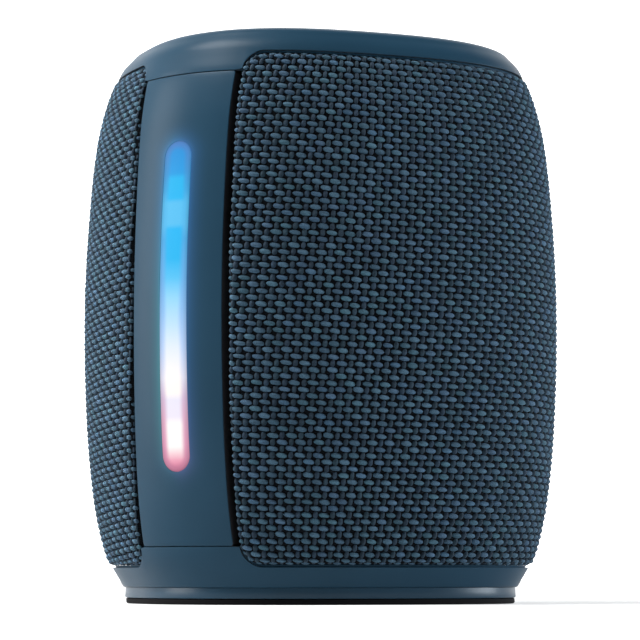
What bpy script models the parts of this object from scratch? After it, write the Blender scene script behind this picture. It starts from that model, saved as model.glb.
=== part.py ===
"""Portable party speaker: barrel-shaped cabinet with two cloth grilles and two light columns.

The speaker stands on its foot pad at z = 0 with its height along +Z.  Its driver faces -Y.
All dimensions below are in millimetres; the finished meshes are in metres.
"""
import math

import bmesh
import bpy
from mathutils import Matrix, Vector

MM = 0.001
GAP = 0.3

# Cabinet plan and side profile (height, share of the full plan)
HALF_WIDTH = 48.9
HALF_DEPTH = 42.5
ROUNDNESS = 2.55
HEIGHT = 117.0
PROFILE = ((0.2, 0.818), (2.4, 0.836), (7.5, 0.893), (13.0, 0.928), (21.0, 0.959),
           (34.0, 0.9855), (52.0, 1.0005), (68.0, 0.998), (85.0, 0.9775), (96.0, 0.953),
           (102.0, 0.9275), (106.0, 0.9035), (109.0, 0.880), (111.5, 0.859), (113.5, 0.8235),
           (115.0, 0.784), (116.0, 0.682), (116.7, 0.556), (HEIGHT, 0.443))

# Foot, base and skirt; heights count from the parting line between the pad and the ring
FLOOR = -1.0
PAD_TOP = 0.0
RING_BOTTOM = 0.2
RING_TOP = 2.2
RING_SHARE = 0.822
PAD_SHARE = 0.817
BASE_BOTTOM = 2.4
BASE_SEAM = 10.6
BASE_FLOOR_TOP = 5.8
BASE_WALL = 2.2
LEDGE = 5.4
LEDGE_TOP = 8.6
SCREW_PLACES = ((-28.0, -16.0), (28.0, -16.0), (28.0, 16.0), (-28.0, 16.0))

# Cap
CAP_SEAM = 105.6
CAP_WALL = 2.0
CAP_ROOF = 2.2

# Light columns
COLUMN_LEFT = -160.8
COLUMN_RIGHT = -135.2
LEFT_LEAN = 31.0
RIGHT_LEAN = 9.6
COLUMN_FACE = 0.4
COLUMN_WALL = 2.2
COLUMN_RIM = 5.0
STRIP_CENTRE = -147.75
STRIP_SPAN = 7.6
STRIP_TOP = 91.5
STRIP_BOTTOM = 25.3
REAR_STRIP_BOTTOM = 43.0
LENS_DEPTH = 2.4

# Grilles
GRILLE_BOTTOM = 7.0
GRILLE_TOP = 109.3
GRILLE_CORNER = 3.9
GRILLE_MARGIN = 1.5
GRILLE_LENGTH = 112.0
CLOTH = 0.8
CLOTH_FOLD = 3.4
FRAME_DEPTH = 2.2
WINDOW_COLUMNS = 6
WINDOW_ROWS = 5

# Enclosure
BOX_HALF_WIDTH = 36.5
BOX_HALF_DEPTH = 29.2
BOX_BOTTOM = 13.0
BOX_TOP = 100.0
BOX_WALL = 2.4
SEAT_Y = 30.6
SEAT_RADIUS = 29.0
SEAT_HOLE = 24.6
DRIVER_Z = 56.0
DRIVER_SCREWS = tuple((26.5 * math.cos(math.radians(45.0 + 90.0 * k)),
                       26.5 * math.sin(math.radians(45.0 + 90.0 * k))) for k in range(4))

# Ports
PORT_SPAN = 11.2
PORT_BOTTOM = 15.0
PORT_TOP = 37.0
TRAY_FLOOR = 5.4
TRAY_BACK = 6.6
USB_Z = 31.0
AUX_Z = 20.5

# Controls: name, x, y, cap radius
BUTTONS = (("button_volume_down", -16.0, -4.0, 5.4),
           ("button_play", 0.0, -4.0, 5.4),
           ("button_volume_up", 16.0, -4.0, 5.4),
           ("button_power", -16.0, 8.0, 3.3),
           ("button_bluetooth", 0.0, 8.0, 3.3),
           ("button_light", 16.0, 8.0, 3.3))
PANEL_TOP = 116.2
PANEL_BOTTOM = 113.0
PANEL_SKIN = 114.8
BUTTON_TOP = 116.9
BUTTON_TRAVEL = 0.6
SWITCH_TOP = 110.3
BOARD_TOP = 108.8
BOARD_THICKNESS = 1.2

SPEAKER = None
CUTTERS = None


def clear_scene():
    """Remove whatever the start-up scene holds."""
    for old in list(bpy.data.objects):
        bpy.data.objects.remove(old, do_unlink=True)


def make_collection(name):
    """Add a collection under the scene and return it."""
    collection = bpy.data.collections.new(name)
    bpy.context.scene.collection.children.link(collection)
    return collection


def make_material(name, colour, roughness=0.5, metallic=0.0, emission=None):
    """Make a plain Principled material."""
    material = bpy.data.materials.new(name)
    material.use_nodes = True
    shader = material.node_tree.nodes["Principled BSDF"]
    shader.inputs["Base Color"].default_value = (*colour, 1.0)
    shader.inputs["Roughness"].default_value = roughness
    shader.inputs["Metallic"].default_value = metallic
    if emission:
        shader.inputs["Emission Color"].default_value = (*emission, 1.0)
        shader.inputs["Emission Strength"].default_value = 1.0
    material.diffuse_color = (*colour, 1.0)
    return material


def add_object(name, bm, material, smooth=True):
    """Close off a bmesh as an object of the speaker."""
    bmesh.ops.recalc_face_normals(bm, faces=bm.faces)
    mesh = bpy.data.meshes.new(name)
    bm.to_mesh(mesh)
    bm.free()
    if smooth:
        mesh.shade_smooth()
        mesh.set_sharp_from_angle(angle=math.radians(35.0))
    mesh.materials.append(material)
    obj = bpy.data.objects.new(name, mesh)
    SPEAKER.objects.link(obj)
    return obj


def add_cutter(name, bm):
    """Keep a bmesh as a hidden Boolean operand."""
    bmesh.ops.recalc_face_normals(bm, faces=bm.faces)
    mesh = bpy.data.meshes.new(name)
    bm.to_mesh(mesh)
    bm.free()
    obj = bpy.data.objects.new(name, mesh)
    obj.hide_render = True
    obj.hide_viewport = True
    obj.display_type = "WIRE"
    CUTTERS.objects.link(obj)
    return obj


def combine(obj, operation, bm):
    """Cut from or join to an object the solids held in a bmesh."""
    operand = add_cutter(f"{obj.name}_{operation.lower()}_{len(obj.modifiers)}", bm)
    modifier = obj.modifiers.new(operation.title(), "BOOLEAN")
    modifier.operation = operation
    modifier.solver = "EXACT"
    modifier.object = operand


# ---------------------------------------------------------------- cabinet surface


def plan_radius(angle, half_width=HALF_WIDTH, half_depth=HALF_DEPTH):
    """Distance from the centre line to the full plan outline at an angle in degrees."""
    across = abs(math.cos(math.radians(angle))) / half_width
    along = abs(math.sin(math.radians(angle))) / half_depth
    return (across ** ROUNDNESS + along ** ROUNDNESS) ** (-1.0 / ROUNDNESS)


def profile_slope(index):
    """Slope of the side profile at one of its stations."""
    low = max(index - 1, 0)
    high = min(index + 1, len(PROFILE) - 1)
    return (PROFILE[high][1] - PROFILE[low][1]) / (PROFILE[high][0] - PROFILE[low][0])


def profile(z):
    """Share of the full plan that the cabinet has at a height."""
    z = min(max(z, PROFILE[0][0]), PROFILE[-1][0])
    index = 0
    while index < len(PROFILE) - 2 and PROFILE[index + 1][0] < z:
        index += 1
    (z_a, share_a), (z_b, share_b) = PROFILE[index], PROFILE[index + 1]
    step = z_b - z_a
    t = (z - z_a) / step
    smooth = t * t * (3.0 - 2.0 * t)
    lead = profile_slope(index) * step * t * (1.0 - t) ** 2
    trail = profile_slope(index + 1) * step * t * t * (1.0 - t)
    return share_a + (share_b - share_a) * smooth + lead - trail


def surface_point(angle, z, inset):
    """Point at a depth below the cabinet surface."""
    radius = plan_radius(angle) * profile(z) - inset
    turn = math.radians(angle)
    return Vector((radius * math.cos(turn), radius * math.sin(turn), z)) * MM


def column_edges(share):
    """Angles of the light column's two sides where the cabinet has this share of its plan."""
    lack = 1.0 - share
    return COLUMN_LEFT - LEFT_LEAN * lack, COLUMN_RIGHT + RIGHT_LEAN * lack


def front_column(share):
    """Sides of the front light column moulding."""
    return column_edges(share)


def rear_column(share):
    """Sides of the rear light column moulding."""
    left, right = column_edges(share)
    return left + 180.0, right + 180.0


def front_grille(share):
    """Sides of the grille that wraps the front and the right side."""
    left, right = column_edges(share)
    return right + GRILLE_MARGIN / share, left + 180.0 - GRILLE_MARGIN / share


def rear_grille(share):
    """Sides of the grille that wraps the back and the left side."""
    start, end = front_grille(share)
    return start + 180.0, end + 180.0


def strip_edges(turn, span):
    """Function giving the sides of a light strip that is turned about Z."""
    def edges(share):
        centre = STRIP_CENTRE + turn
        return centre - 0.5 * span / share, centre + 0.5 * span / share
    return edges


def port_edges(share):
    """Sides of the port opening in the rear column."""
    centre = STRIP_CENTRE + 180.0
    return centre - 0.5 * PORT_SPAN / share, centre + 0.5 * PORT_SPAN / share


def corner_stations(length, corner, shrink, middle, steps):
    """Positions along a panel with the drop its rounded corner makes at each."""
    radius = max(corner - shrink, 0.01)
    arc = []
    for step in range(steps + 1):
        turn = 0.5 * math.pi * step / steps
        arc.append((shrink + radius * (1.0 - math.cos(turn)), radius * (1.0 - math.sin(turn))))
    straight = [(corner + (length - 2.0 * corner) * step / middle, 0.0) for step in range(1, middle)]
    far = [(length - position, drop) for position, drop in reversed(arc)]
    return arc + straight + far


def panel_grid(panel, shrink, inset):
    """Grid of points on a panel of the cabinet, one list per column."""
    edges, low, high, corner, length, middle, rows, steps = panel
    grid = []
    for position, drop in corner_stations(length, corner, shrink, middle, steps):
        column = []
        bottom = low + shrink + drop
        top = high - shrink - drop
        for row in range(rows + 1):
            z = bottom + (top - bottom) * row / rows
            start, end = edges(profile(z))
            column.append(surface_point(start + (end - start) * position / length, z, inset))
        grid.append(column)
    return grid


def border(columns, rows):
    """Column and row numbers round the border of a grid, in order."""
    loop = [(column, 0) for column in range(columns)]
    loop += [(columns - 1, row) for row in range(1, rows)]
    loop += [(column, rows - 1) for column in range(columns - 2, -1, -1)]
    loop += [(0, row) for row in range(rows - 2, 0, -1)]
    return loop


def panel_solid(panel, layers, windows=None):
    """Closed solid from (shrink, inset) layers; the first and last are its two faces."""
    bm = bmesh.new()
    grids = []
    for shrink, inset in layers:
        grids.append(panel_grid(panel, shrink, inset))
    columns, rows = len(grids[0]), len(grids[0][0])
    loop = border(columns, rows)
    faces = []
    for grid in (grids[0], grids[-1]):
        faces.append([[bm.verts.new(point) for point in column] for column in grid])
    windows = windows or set()
    for side in faces:
        for column in range(columns - 1):
            for row in range(rows - 1):
                if (column, row) not in windows:
                    bm.faces.new((side[column][row], side[column + 1][row],
                                  side[column + 1][row + 1], side[column][row + 1]))
    for column, row in windows:
        ring = ((column, row), (column + 1, row), (column + 1, row + 1), (column, row + 1))
        for index in range(4):
            a, b = ring[index], ring[(index + 1) % 4]
            bm.faces.new((faces[0][a[0]][a[1]], faces[0][b[0]][b[1]],
                          faces[1][b[0]][b[1]], faces[1][a[0]][a[1]]))
    rings = [[faces[0][column][row] for column, row in loop]]
    for grid in grids[1:-1]:
        rings.append([bm.verts.new(grid[column][row]) for column, row in loop])
    rings.append([faces[1][column][row] for column, row in loop])
    for first, second in zip(rings, rings[1:]):
        for index in range(len(loop)):
            after = (index + 1) % len(loop)
            bm.faces.new((first[index], first[after], second[after], second[index]))
    return bm


def slab(panel, shrink, outer, inner):
    """Closed plate that follows the cabinet between two depths."""
    return panel_solid(panel, ((shrink, outer), (shrink, inner)))


# ---------------------------------------------------------------- simple solids


def loft(loops):
    """Closed solid through loops of points, capped at both ends."""
    bm = bmesh.new()
    rings = [[bm.verts.new(Vector(point) * MM) for point in loop] for loop in loops]
    for first, second in zip(rings, rings[1:]):
        for index in range(len(first)):
            after = (index + 1) % len(first)
            bm.faces.new((first[index], first[after], second[after], second[index]))
    bm.faces.new(rings[0])
    bm.faces.new(rings[-1])
    return bm


def tube(loops):
    """Closed ring-shaped solid through loops of points."""
    bm = bmesh.new()
    rings = [[bm.verts.new(Vector(point) * MM) for point in loop] for loop in loops]
    for first, second in zip(rings, rings[1:] + rings[:1]):
        for index in range(len(first)):
            after = (index + 1) % len(first)
            bm.faces.new((first[index], first[after], second[after], second[index]))
    return bm


def rounded_outline(width, depth, radius, z, centre=(0.0, 0.0), steps=3):
    """Rounded rectangle in a horizontal plane."""
    points = []
    for corner in range(4):
        across = (0.5 * width - radius) * (1 if corner in (0, 3) else -1)
        along = (0.5 * depth - radius) * (1 if corner in (0, 1) else -1)
        for step in range(steps + 1):
            turn = 0.5 * math.pi * (corner + step / steps)
            points.append((centre[0] + across + radius * math.cos(turn),
                           centre[1] + along + radius * math.sin(turn), z))
    return points


def rounded_prism(width, depth, radius, bottom, top, centre=(0.0, 0.0)):
    """Upright prism with a rounded rectangular plan."""
    return loft([rounded_outline(width, depth, radius, bottom, centre),
                 rounded_outline(width, depth, radius, top, centre)])


def plan_outline(half_width, half_depth, z, segments=36):
    """Cabinet-shaped outline in a horizontal plane."""
    points = []
    for segment in range(segments):
        angle = 360.0 * (segment + 0.5) / segments
        radius = plan_radius(angle, half_width, half_depth)
        turn = math.radians(angle)
        points.append((radius * math.cos(turn), radius * math.sin(turn), z))
    return points


def add_box(bm, low, high, matrix=None):
    """Add a box between two corners."""
    size = [(b - a) * MM for a, b in zip(low, high)]
    middle = Vector([(a + b) * 0.5 * MM for a, b in zip(low, high)])
    place = Matrix.Translation(middle) @ Matrix.Diagonal((*size, 1.0))
    bmesh.ops.create_cube(bm, size=1.0, matrix=(matrix or Matrix()) @ place)


def add_cylinder(bm, centre, radius, bottom, top, segments=20, matrix=None):
    """Add an upright cylinder."""
    place = Matrix.Translation(Vector((centre[0], centre[1], 0.5 * (bottom + top))) * MM)
    bmesh.ops.create_cone(bm, cap_ends=True, segments=segments, radius1=radius * MM,
                          radius2=radius * MM, depth=(top - bottom) * MM,
                          matrix=(matrix or Matrix()) @ place)


def box(low, high, matrix=None):
    """A box on its own."""
    bm = bmesh.new()
    add_box(bm, low, high, matrix)
    return bm


def turned(section, segments=32, matrix=None):
    """Solid of revolution about Z from a closed section of (radius, height) points."""
    bm = bmesh.new()
    points = [bm.verts.new((radius * MM, 0.0, height * MM)) for radius, height in section]
    edges = []
    for index in range(len(points)):
        a, b = points[index], points[(index + 1) % len(points)]
        if section[index][0] > 0.0 or section[(index + 1) % len(section)][0] > 0.0:
            edges.append(bm.edges.new((a, b)))
    bmesh.ops.spin(bm, geom=points + edges, cent=(0.0, 0.0, 0.0), axis=(0.0, 0.0, 1.0),
                   dvec=(0.0, 0.0, 0.0), angle=2.0 * math.pi, steps=segments,
                   use_merge=True, use_normal_flip=False, use_duplicate=False)
    bmesh.ops.remove_doubles(bm, verts=bm.verts, dist=1e-6)
    if matrix:
        bmesh.ops.transform(bm, matrix=matrix, verts=bm.verts)
    return bm


def thin_section(line, thickness):
    """Closed section from a line of (radius, height) points thickened downwards."""
    return list(line) + [(radius, height - thickness) for radius, height in reversed(line)]


# ---------------------------------------------------------------- cap and base


def ring_stations():
    """Places round the cabinet: which panel, share of its length, corner drop."""
    stations = []
    for edges in (front_column, front_grille, rear_column, rear_grille):
        if edges in (front_column, rear_column):
            stations += [(edges, step / 3.0, None) for step in range(4)]
        else:
            for position, drop in corner_stations(GRILLE_LENGTH, GRILLE_CORNER, 0.0, 12, 3):
                stations.append((edges, position / GRILLE_LENGTH, drop))
    return stations


def ring_angle(station, z):
    """Angle of a station at a height."""
    edges, share, _ = station
    start, end = edges(max(profile(z), 0.88))
    return start + (end - start) * share


def shell_solid(outer_rows, inner_rows):
    """Closed cup from rings of points: outer wall, edge and inner wall, both capped."""
    return loft(list(reversed(outer_rows)) + inner_rows)


def ring_row(stations, height, inset):
    """Ring of points at a height given per station."""
    row = []
    for station in stations:
        z = height(station)
        row.append(surface_point(ring_angle(station, z), z, inset) / MM)
    return row


def cap_edge(station):
    """Lower edge of the cap at a station."""
    if station[2] is None:
        return CAP_SEAM + 0.5 * GAP
    return max(GRILLE_TOP + 0.5 - station[2], CAP_SEAM + 0.5 * GAP)


def base_edge(station):
    """Upper edge of the base at a station."""
    if station[2] is None:
        return BASE_SEAM - 0.5 * GAP
    return min(GRILLE_BOTTOM - 0.5 + station[2], BASE_SEAM - 0.5 * GAP)


def build_cap(material):
    """Top cap: crown, skirt and ears that close round the grille corners."""
    stations = ring_stations()
    outer = [ring_row(stations, cap_edge, COLUMN_FACE)]
    inner = [ring_row(stations, cap_edge, COLUMN_FACE + CAP_WALL)]
    for z in (110.4, 112.4, 114.0, 115.0, 116.0, 116.6, HEIGHT):
        outer.append(ring_row(stations, lambda _, z=z: z, COLUMN_FACE))
    for z in (110.4, 112.6, 114.0):
        inner.append(ring_row(stations, lambda _, z=z: z, COLUMN_FACE + CAP_WALL))
    inner.append([(x, y, HEIGHT - CAP_ROOF) for x, y, _ in
                  ring_row(stations, lambda _: 115.3, COLUMN_FACE + CAP_WALL)])
    cap = add_object("top_cap", shell_solid(outer, inner), material)
    combine(cap, "DIFFERENCE", rounded_prism(56.6, 28.6, 6.3, 112.0, 119.0))
    posts = bmesh.new()
    for x in (-32.0, 32.0):
        for y in (-7.0, 7.0):
            add_cylinder(posts, (x, y), 1.8, BOARD_TOP + 0.2, 115.0, 8)
    combine(cap, "UNION", posts)
    return cap


def build_base(material):
    """Base shell: bevelled skirt, floor and screw wells."""
    stations = ring_stations()
    outer = [ring_row(stations, base_edge, COLUMN_FACE)]
    for z in (5.2, BASE_BOTTOM):
        outer.append(ring_row(stations, lambda _, z=z: z, COLUMN_FACE))
    inner = [ring_row(stations, base_edge, COLUMN_FACE + BASE_WALL),
             ring_row(stations, lambda _: BASE_FLOOR_TOP, COLUMN_FACE + BASE_WALL)]
    base = add_object("base_shell", shell_solid(outer, inner), material)
    rim = [ring_row(stations, lambda _, z=z: z, inset)
           for inset, z in ((LEDGE, 5.0), (LEDGE, LEDGE_TOP), (LEDGE + 1.0, LEDGE_TOP))]
    rim.append(ring_row(stations, lambda _: 5.0, LEDGE + 1.0))
    combine(base, "UNION", tube(rim))
    holes = bmesh.new()
    for x, y in SCREW_PLACES:
        add_cylinder(holes, (x, y), 1.5, 1.0, 8.0, 10)
    combine(base, "DIFFERENCE", holes)
    wells = bmesh.new()
    for x, y in SCREW_PLACES:
        add_cylinder(wells, (x, y), 2.9, 1.0, 4.7, 12)
    combine(base, "DIFFERENCE", wells)
    return base


def build_foot(plastic, rubber):
    """Foot ring and rubber pad under the base."""
    ring = loft([plan_outline(HALF_WIDTH * RING_SHARE, HALF_DEPTH * RING_SHARE, z)
                 for z in (RING_BOTTOM, RING_TOP)])
    ring_obj = add_object("foot_ring", ring, plastic)
    inside = 0.62
    combine(ring_obj, "DIFFERENCE",
            loft([plan_outline(HALF_WIDTH * inside, HALF_DEPTH * inside, z)
                  for z in (RING_BOTTOM - 1.0, RING_TOP + 1.0)]))
    edge = 0.4
    pad = loft([plan_outline(HALF_WIDTH * PAD_SHARE - edge, HALF_DEPTH * PAD_SHARE - edge, FLOOR),
                plan_outline(HALF_WIDTH * PAD_SHARE, HALF_DEPTH * PAD_SHARE, FLOOR + edge),
                plan_outline(HALF_WIDTH * PAD_SHARE, HALF_DEPTH * PAD_SHARE, PAD_TOP)])
    add_object("foot_pad", pad, rubber)


def build_screws(steel):
    """Four screws that hold the base to the enclosure."""
    section = [(0.0, 4.4), (0.0, 3.7), (0.7, 3.5), (2.2, 3.5), (2.6, 3.9), (2.6, 4.6),
               (1.2, 4.6), (1.2, 11.4), (0.7, 12.0), (0.0, 12.0)]
    for number, (x, y) in enumerate(SCREW_PLACES, 1):
        place = Matrix.Translation(Vector((x, y, 0.0)) * MM)
        add_object(f"base_screw_{number}", turned(section[1:], 9, place), steel)


# ---------------------------------------------------------------- columns and grilles


def build_column(name, edges, strip, strip_bottom, port, material):
    """Light column moulding with its slot for the lens."""
    panel = (edges, BASE_SEAM + 0.5 * GAP, CAP_SEAM - 0.5 * GAP, 0.6, 24.0, 4, 10, 1)
    layers = ((0.0, COLUMN_FACE), (0.0, COLUMN_RIM), (1.4, COLUMN_RIM),
              (1.4, COLUMN_FACE + COLUMN_WALL))
    column = add_object(name, panel_solid(panel, layers), material)
    slot = (strip, strip_bottom, STRIP_TOP, 3.3, 6.6, 1, 10, 3)
    combine(column, "DIFFERENCE", slab(slot, 0.0, -2.0, 4.5))
    if port:
        opening = (port_edges, PORT_BOTTOM, PORT_TOP, 2.4, 9.6, 2, 3, 2)
        combine(column, "DIFFERENCE", slab(opening, 0.0, -2.0, 4.5))
    return column


def build_lens(name, strip, strip_bottom, material):
    """Diffuser strip set in the column's slot."""
    lens = (strip, strip_bottom, STRIP_TOP, 3.3, 6.6, 1, 10, 3)
    add_object(name, slab(lens, 0.2, COLUMN_FACE, COLUMN_FACE + LENS_DEPTH), material)


def build_light_board(name, strip, strip_bottom, count, material):
    """Flexible circuit strip with its row of light chips."""
    panel = (strip, strip_bottom + 0.5, STRIP_TOP - 0.5, 0.4, 6.0, 1, 7, 1)
    board = add_object(name, slab(panel, 0.0, 5.6, 6.6), material)
    chips = bmesh.new()
    for index in range(count):
        z = strip_bottom + 4.0 + (STRIP_TOP - strip_bottom - 8.0) * index / (count - 1)
        start, end = strip(profile(z))
        frame = surface_frame(0.5 * (start + end), z)
        add_box(chips, (-1.4, -1.4, -6.0), (1.4, 1.4, -4.6), frame)
    combine(board, "UNION", chips)


def surface_frame(angle, z):
    """Local frame on the cabinet: across, up the side, outwards."""
    origin = surface_point(angle, z, 0.0)
    up = (surface_point(angle, z + 0.5, 0.0) - surface_point(angle, z - 0.5, 0.0)).normalized()
    side = surface_point(angle + 0.5, z, 0.0) - surface_point(angle - 0.5, z, 0.0)
    out = side.cross(up).normalized()
    across = up.cross(out)
    matrix = Matrix((across, up, out)).transposed().to_4x4()
    matrix.translation = origin
    return matrix


def build_grille(suffix, edges, cloth, plastic):
    """Cloth cover and the perforated carrier it is stretched over."""
    panel = (edges, GRILLE_BOTTOM, GRILLE_TOP, GRILLE_CORNER, GRILLE_LENGTH, 13, 8, 3)
    layers = ((0.5, 0.0), (0.0, 0.5), (0.0, CLOTH_FOLD), (CLOTH, CLOTH_FOLD), (CLOTH, CLOTH))
    add_object(f"grille_cloth_{suffix}", panel_solid(panel, layers), cloth)
    columns = 2 * WINDOW_COLUMNS + 1
    rows = 2 * WINDOW_ROWS + 1
    carrier = (edges, GRILLE_BOTTOM, GRILLE_TOP, GRILLE_CORNER, GRILLE_LENGTH, columns, rows, 2)
    windows = set()
    for column in range(WINDOW_COLUMNS):
        for row in range(WINDOW_ROWS):
            windows.add((2 + 2 * column + 1, 2 * row + 1))
    shrink = CLOTH + GAP
    depth = CLOTH + 2.0 * GAP
    layers = ((shrink, depth), (shrink, depth + FRAME_DEPTH))
    add_object(f"grille_frame_{suffix}", panel_solid(carrier, layers, windows), plastic)


# ---------------------------------------------------------------- enclosure


def half_box(name, side, material):
    """One half of the sealed enclosure with the seat for its driver or radiator."""
    outer = [plan_outline(BOX_HALF_WIDTH, BOX_HALF_DEPTH, z) for z in (BOX_BOTTOM, BOX_TOP)]
    half = add_object(name, loft(outer), material)
    facing = Matrix.Rotation(math.radians(-90.0 * side), 4, "X")
    facing.translation = Vector((0.0, 0.0, DRIVER_Z)) * MM
    seat = bmesh.new()
    add_cylinder(seat, (0.0, 0.0), SEAT_RADIUS, 22.0, SEAT_Y, 28, facing)
    for x, y in SCREW_PLACES:
        if y * side > 0.0:
            add_cylinder(seat, (x, y), 3.0, 6.2, BOX_BOTTOM + 1.0, 10)
    combine(half, "UNION", seat)
    inner = [plan_outline(BOX_HALF_WIDTH - BOX_WALL, BOX_HALF_DEPTH - BOX_WALL, z)
             for z in (BOX_BOTTOM + BOX_WALL, BOX_TOP - BOX_WALL)]
    combine(half, "DIFFERENCE", loft(inner))
    holes = bmesh.new()
    add_cylinder(holes, (0.0, 0.0), SEAT_HOLE, 15.0, SEAT_Y + 2.0, 28, facing)
    for x, y in SCREW_PLACES:
        if y * side > 0.0:
            add_cylinder(holes, (x, y), 1.5, 5.0, 12.6, 8)
    if side < 0:
        for x, z in DRIVER_SCREWS:
            add_cylinder(holes, (x, z), 0.8, 23.8, SEAT_Y + 1.0, 8, facing)
    combine(half, "DIFFERENCE", holes)
    split = 0.8
    low, high = (-60.0, split, 0.0), (60.0, 60.0, 120.0)
    if side < 0:
        low, high = (-60.0, -60.0, 0.0), (60.0, -split, 120.0)
    combine(half, "INTERSECT", box(low, high))
    return half


def build_enclosure(plastic, foam):
    """Front and rear halves with the gasket between them."""
    half_box("enclosure_front", -1, plastic)
    half_box("enclosure_rear", 1, plastic)
    bm = box((-(BOX_HALF_WIDTH - 0.4), -0.5, BOX_BOTTOM + 0.4),
             (BOX_HALF_WIDTH - 0.4, 0.5, BOX_TOP - 0.4))
    gasket = add_object("enclosure_gasket", bm, foam, smooth=False)
    inset = BOX_WALL - 0.3
    combine(gasket, "DIFFERENCE", box((-(BOX_HALF_WIDTH - inset), -2.0, BOX_BOTTOM + inset),
                                      (BOX_HALF_WIDTH - inset, 2.0, BOX_TOP - inset)))


def facing_frame(side):
    """Frame whose +Z points out of the front (-1) or the back (+1) from the seat plane."""
    matrix = Matrix.Rotation(math.radians(-90.0 * side), 4, "X")
    matrix.translation = Vector((0.0, side * SEAT_Y, DRIVER_Z)) * MM
    return matrix


def roll_line(start, end, start_height, end_height, rise, steps):
    """Half-roll between two radii."""
    line = []
    for step in range(steps + 1):
        share = step / steps
        radius = 0.5 * (start + end) - 0.5 * (end - start) * math.cos(math.pi * share)
        height = start_height + (end_height - start_height) * share
        line.append((radius, height + rise * math.sin(math.pi * share)))
    return line


def build_driver(materials):
    """Full-range driver: basket, motor, moving cone and its suspension."""
    frame = facing_frame(-1)
    gasket = [(24.9, 0.7), (28.4, 0.7), (28.4, 0.2), (24.9, 0.2)]
    add_object("driver_gasket", turned(gasket, 24, frame), materials["foam"])
    basket = [(24.3, 2.2), (28.4, 2.2), (28.4, 1.0), (24.1, 1.0), (16.6, -12.4), (15.2, -14.2),
              (8.0, -14.2), (8.0, -13.0), (14.6, -13.0), (15.6, -12.0), (22.8, 1.0), (24.0, 1.4)]
    shell = add_object("driver_basket", turned(basket, 20, frame), materials["steel"])
    openings = bmesh.new()
    for turn in range(4):
        place = frame @ Matrix.Rotation(math.radians(90.0 * turn), 4, "Z")
        add_box(openings, (-7.5, 10.0, -11.0), (7.5, 32.0, -2.0), place)
    combine(shell, "DIFFERENCE", openings)
    holes = bmesh.new()
    for x, z in DRIVER_SCREWS:
        add_cylinder(holes, (x, z), 0.9, -3.0, 4.0, 8, frame)
    combine(shell, "DIFFERENCE", holes)
    holes = bmesh.new()
    for x, z in DRIVER_SCREWS:
        add_cylinder(holes, (x, z), 0.9, -3.0, 4.0, 8, frame)
    combine(bpy.data.objects["driver_gasket"], "DIFFERENCE", holes)
    plate = [(6.9, -14.5), (14.6, -14.5), (14.6, -17.4), (6.9, -17.4)]
    add_object("driver_top_plate", turned(plate, 22, frame), materials["steel"])
    magnet = [(8.2, -17.6), (15.2, -17.6), (15.2, -24.4), (8.2, -24.4)]
    add_object("driver_magnet", turned(magnet, 22, frame), materials["ferrite"])
    yoke = [(0.0, -14.6), (5.4, -14.6), (5.4, -24.6), (14.4, -24.6), (14.8, -25.0),
            (14.8, -27.4), (0.0, -27.4)]
    add_object("driver_yoke", turned(yoke, 20, frame), materials["steel"])
    coil = [(5.8, -9.2), (6.5, -9.2), (6.5, -19.4), (5.8, -19.4)]
    add_object("driver_voice_coil", turned(coil, 20, frame), materials["copper"])
    cone = thin_section([(6.9, -8.8), (10.0, -6.0), (14.5, -3.2), (19.3, -0.9)], 0.5)
    add_object("driver_cone", turned(cone, 24, frame), materials["paper"])
    dome = [(0.0, -3.4), (2.6, -3.6), (5.0, -4.3), (7.2, -5.6), (8.0, -6.6)]
    dome += [(7.6, -7.0), (5.0, -4.8), (2.6, -4.1), (0.0, -3.9)]
    add_object("driver_dust_cap", turned(dome, 18, frame), materials["paper"])
    line = [(18.2, -0.7), (19.6, -0.2)] + roll_line(20.0, 23.8, 0.1, 2.8, 1.4, 4)[1:-1]
    line += [(24.0, 2.85), (24.7, 2.85)]
    add_object("driver_surround", turned(thin_section(line, 0.4), 20, frame),
               materials["rubber"])
    line = []
    for step in range(7):
        line.append((7.0 + 7.2 * step / 6, -10.4 + 0.5 * (-1) ** step))
    add_object("driver_spider", turned(thin_section(line, 0.35), 18, frame),
               materials["cloth"])
    head = [(0.0, 3.9), (0.9, 3.8), (1.5, 3.2), (1.5, 2.4), (0.55, 2.4),
            (0.55, -5.6), (0.0, -6.0)]
    for number, (x, z) in enumerate(DRIVER_SCREWS, 1):
        place = frame @ Matrix.Translation(Vector((x, z, 0.0)) * MM)
        add_object(f"driver_screw_{number}", turned(head, 8, place), materials["steel"])


def build_radiator(materials):
    """Passive radiator in the rear seat."""
    frame = facing_frame(1)
    ring = [(24.1, 2.0), (27.8, 2.0), (27.8, 0.3), (24.3, 0.3), (24.2, -1.2), (23.2, -1.2), (23.2, 1.2)]
    add_object("radiator_frame", turned(ring, 24, frame), materials["plastic"])
    line = [(14.6, 0.8), (15.6, 0.8)] + roll_line(16.0, 23.6, 0.8, 2.6, 2.2, 4)[1:-1]
    line += [(24.0, 2.6), (25.8, 2.6)]
    add_object("radiator_surround", turned(thin_section(line, 0.4), 20, frame),
               materials["rubber"])
    plate = [(0.0, 0.1), (15.4, 0.1), (15.8, -0.3), (15.8, -1.1), (7.0, -1.1), (7.0, -4.0), (0.0, -4.0)]
    add_object("radiator_plate", turned(plate, 22, frame), materials["steel"])


# ---------------------------------------------------------------- controls


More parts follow.
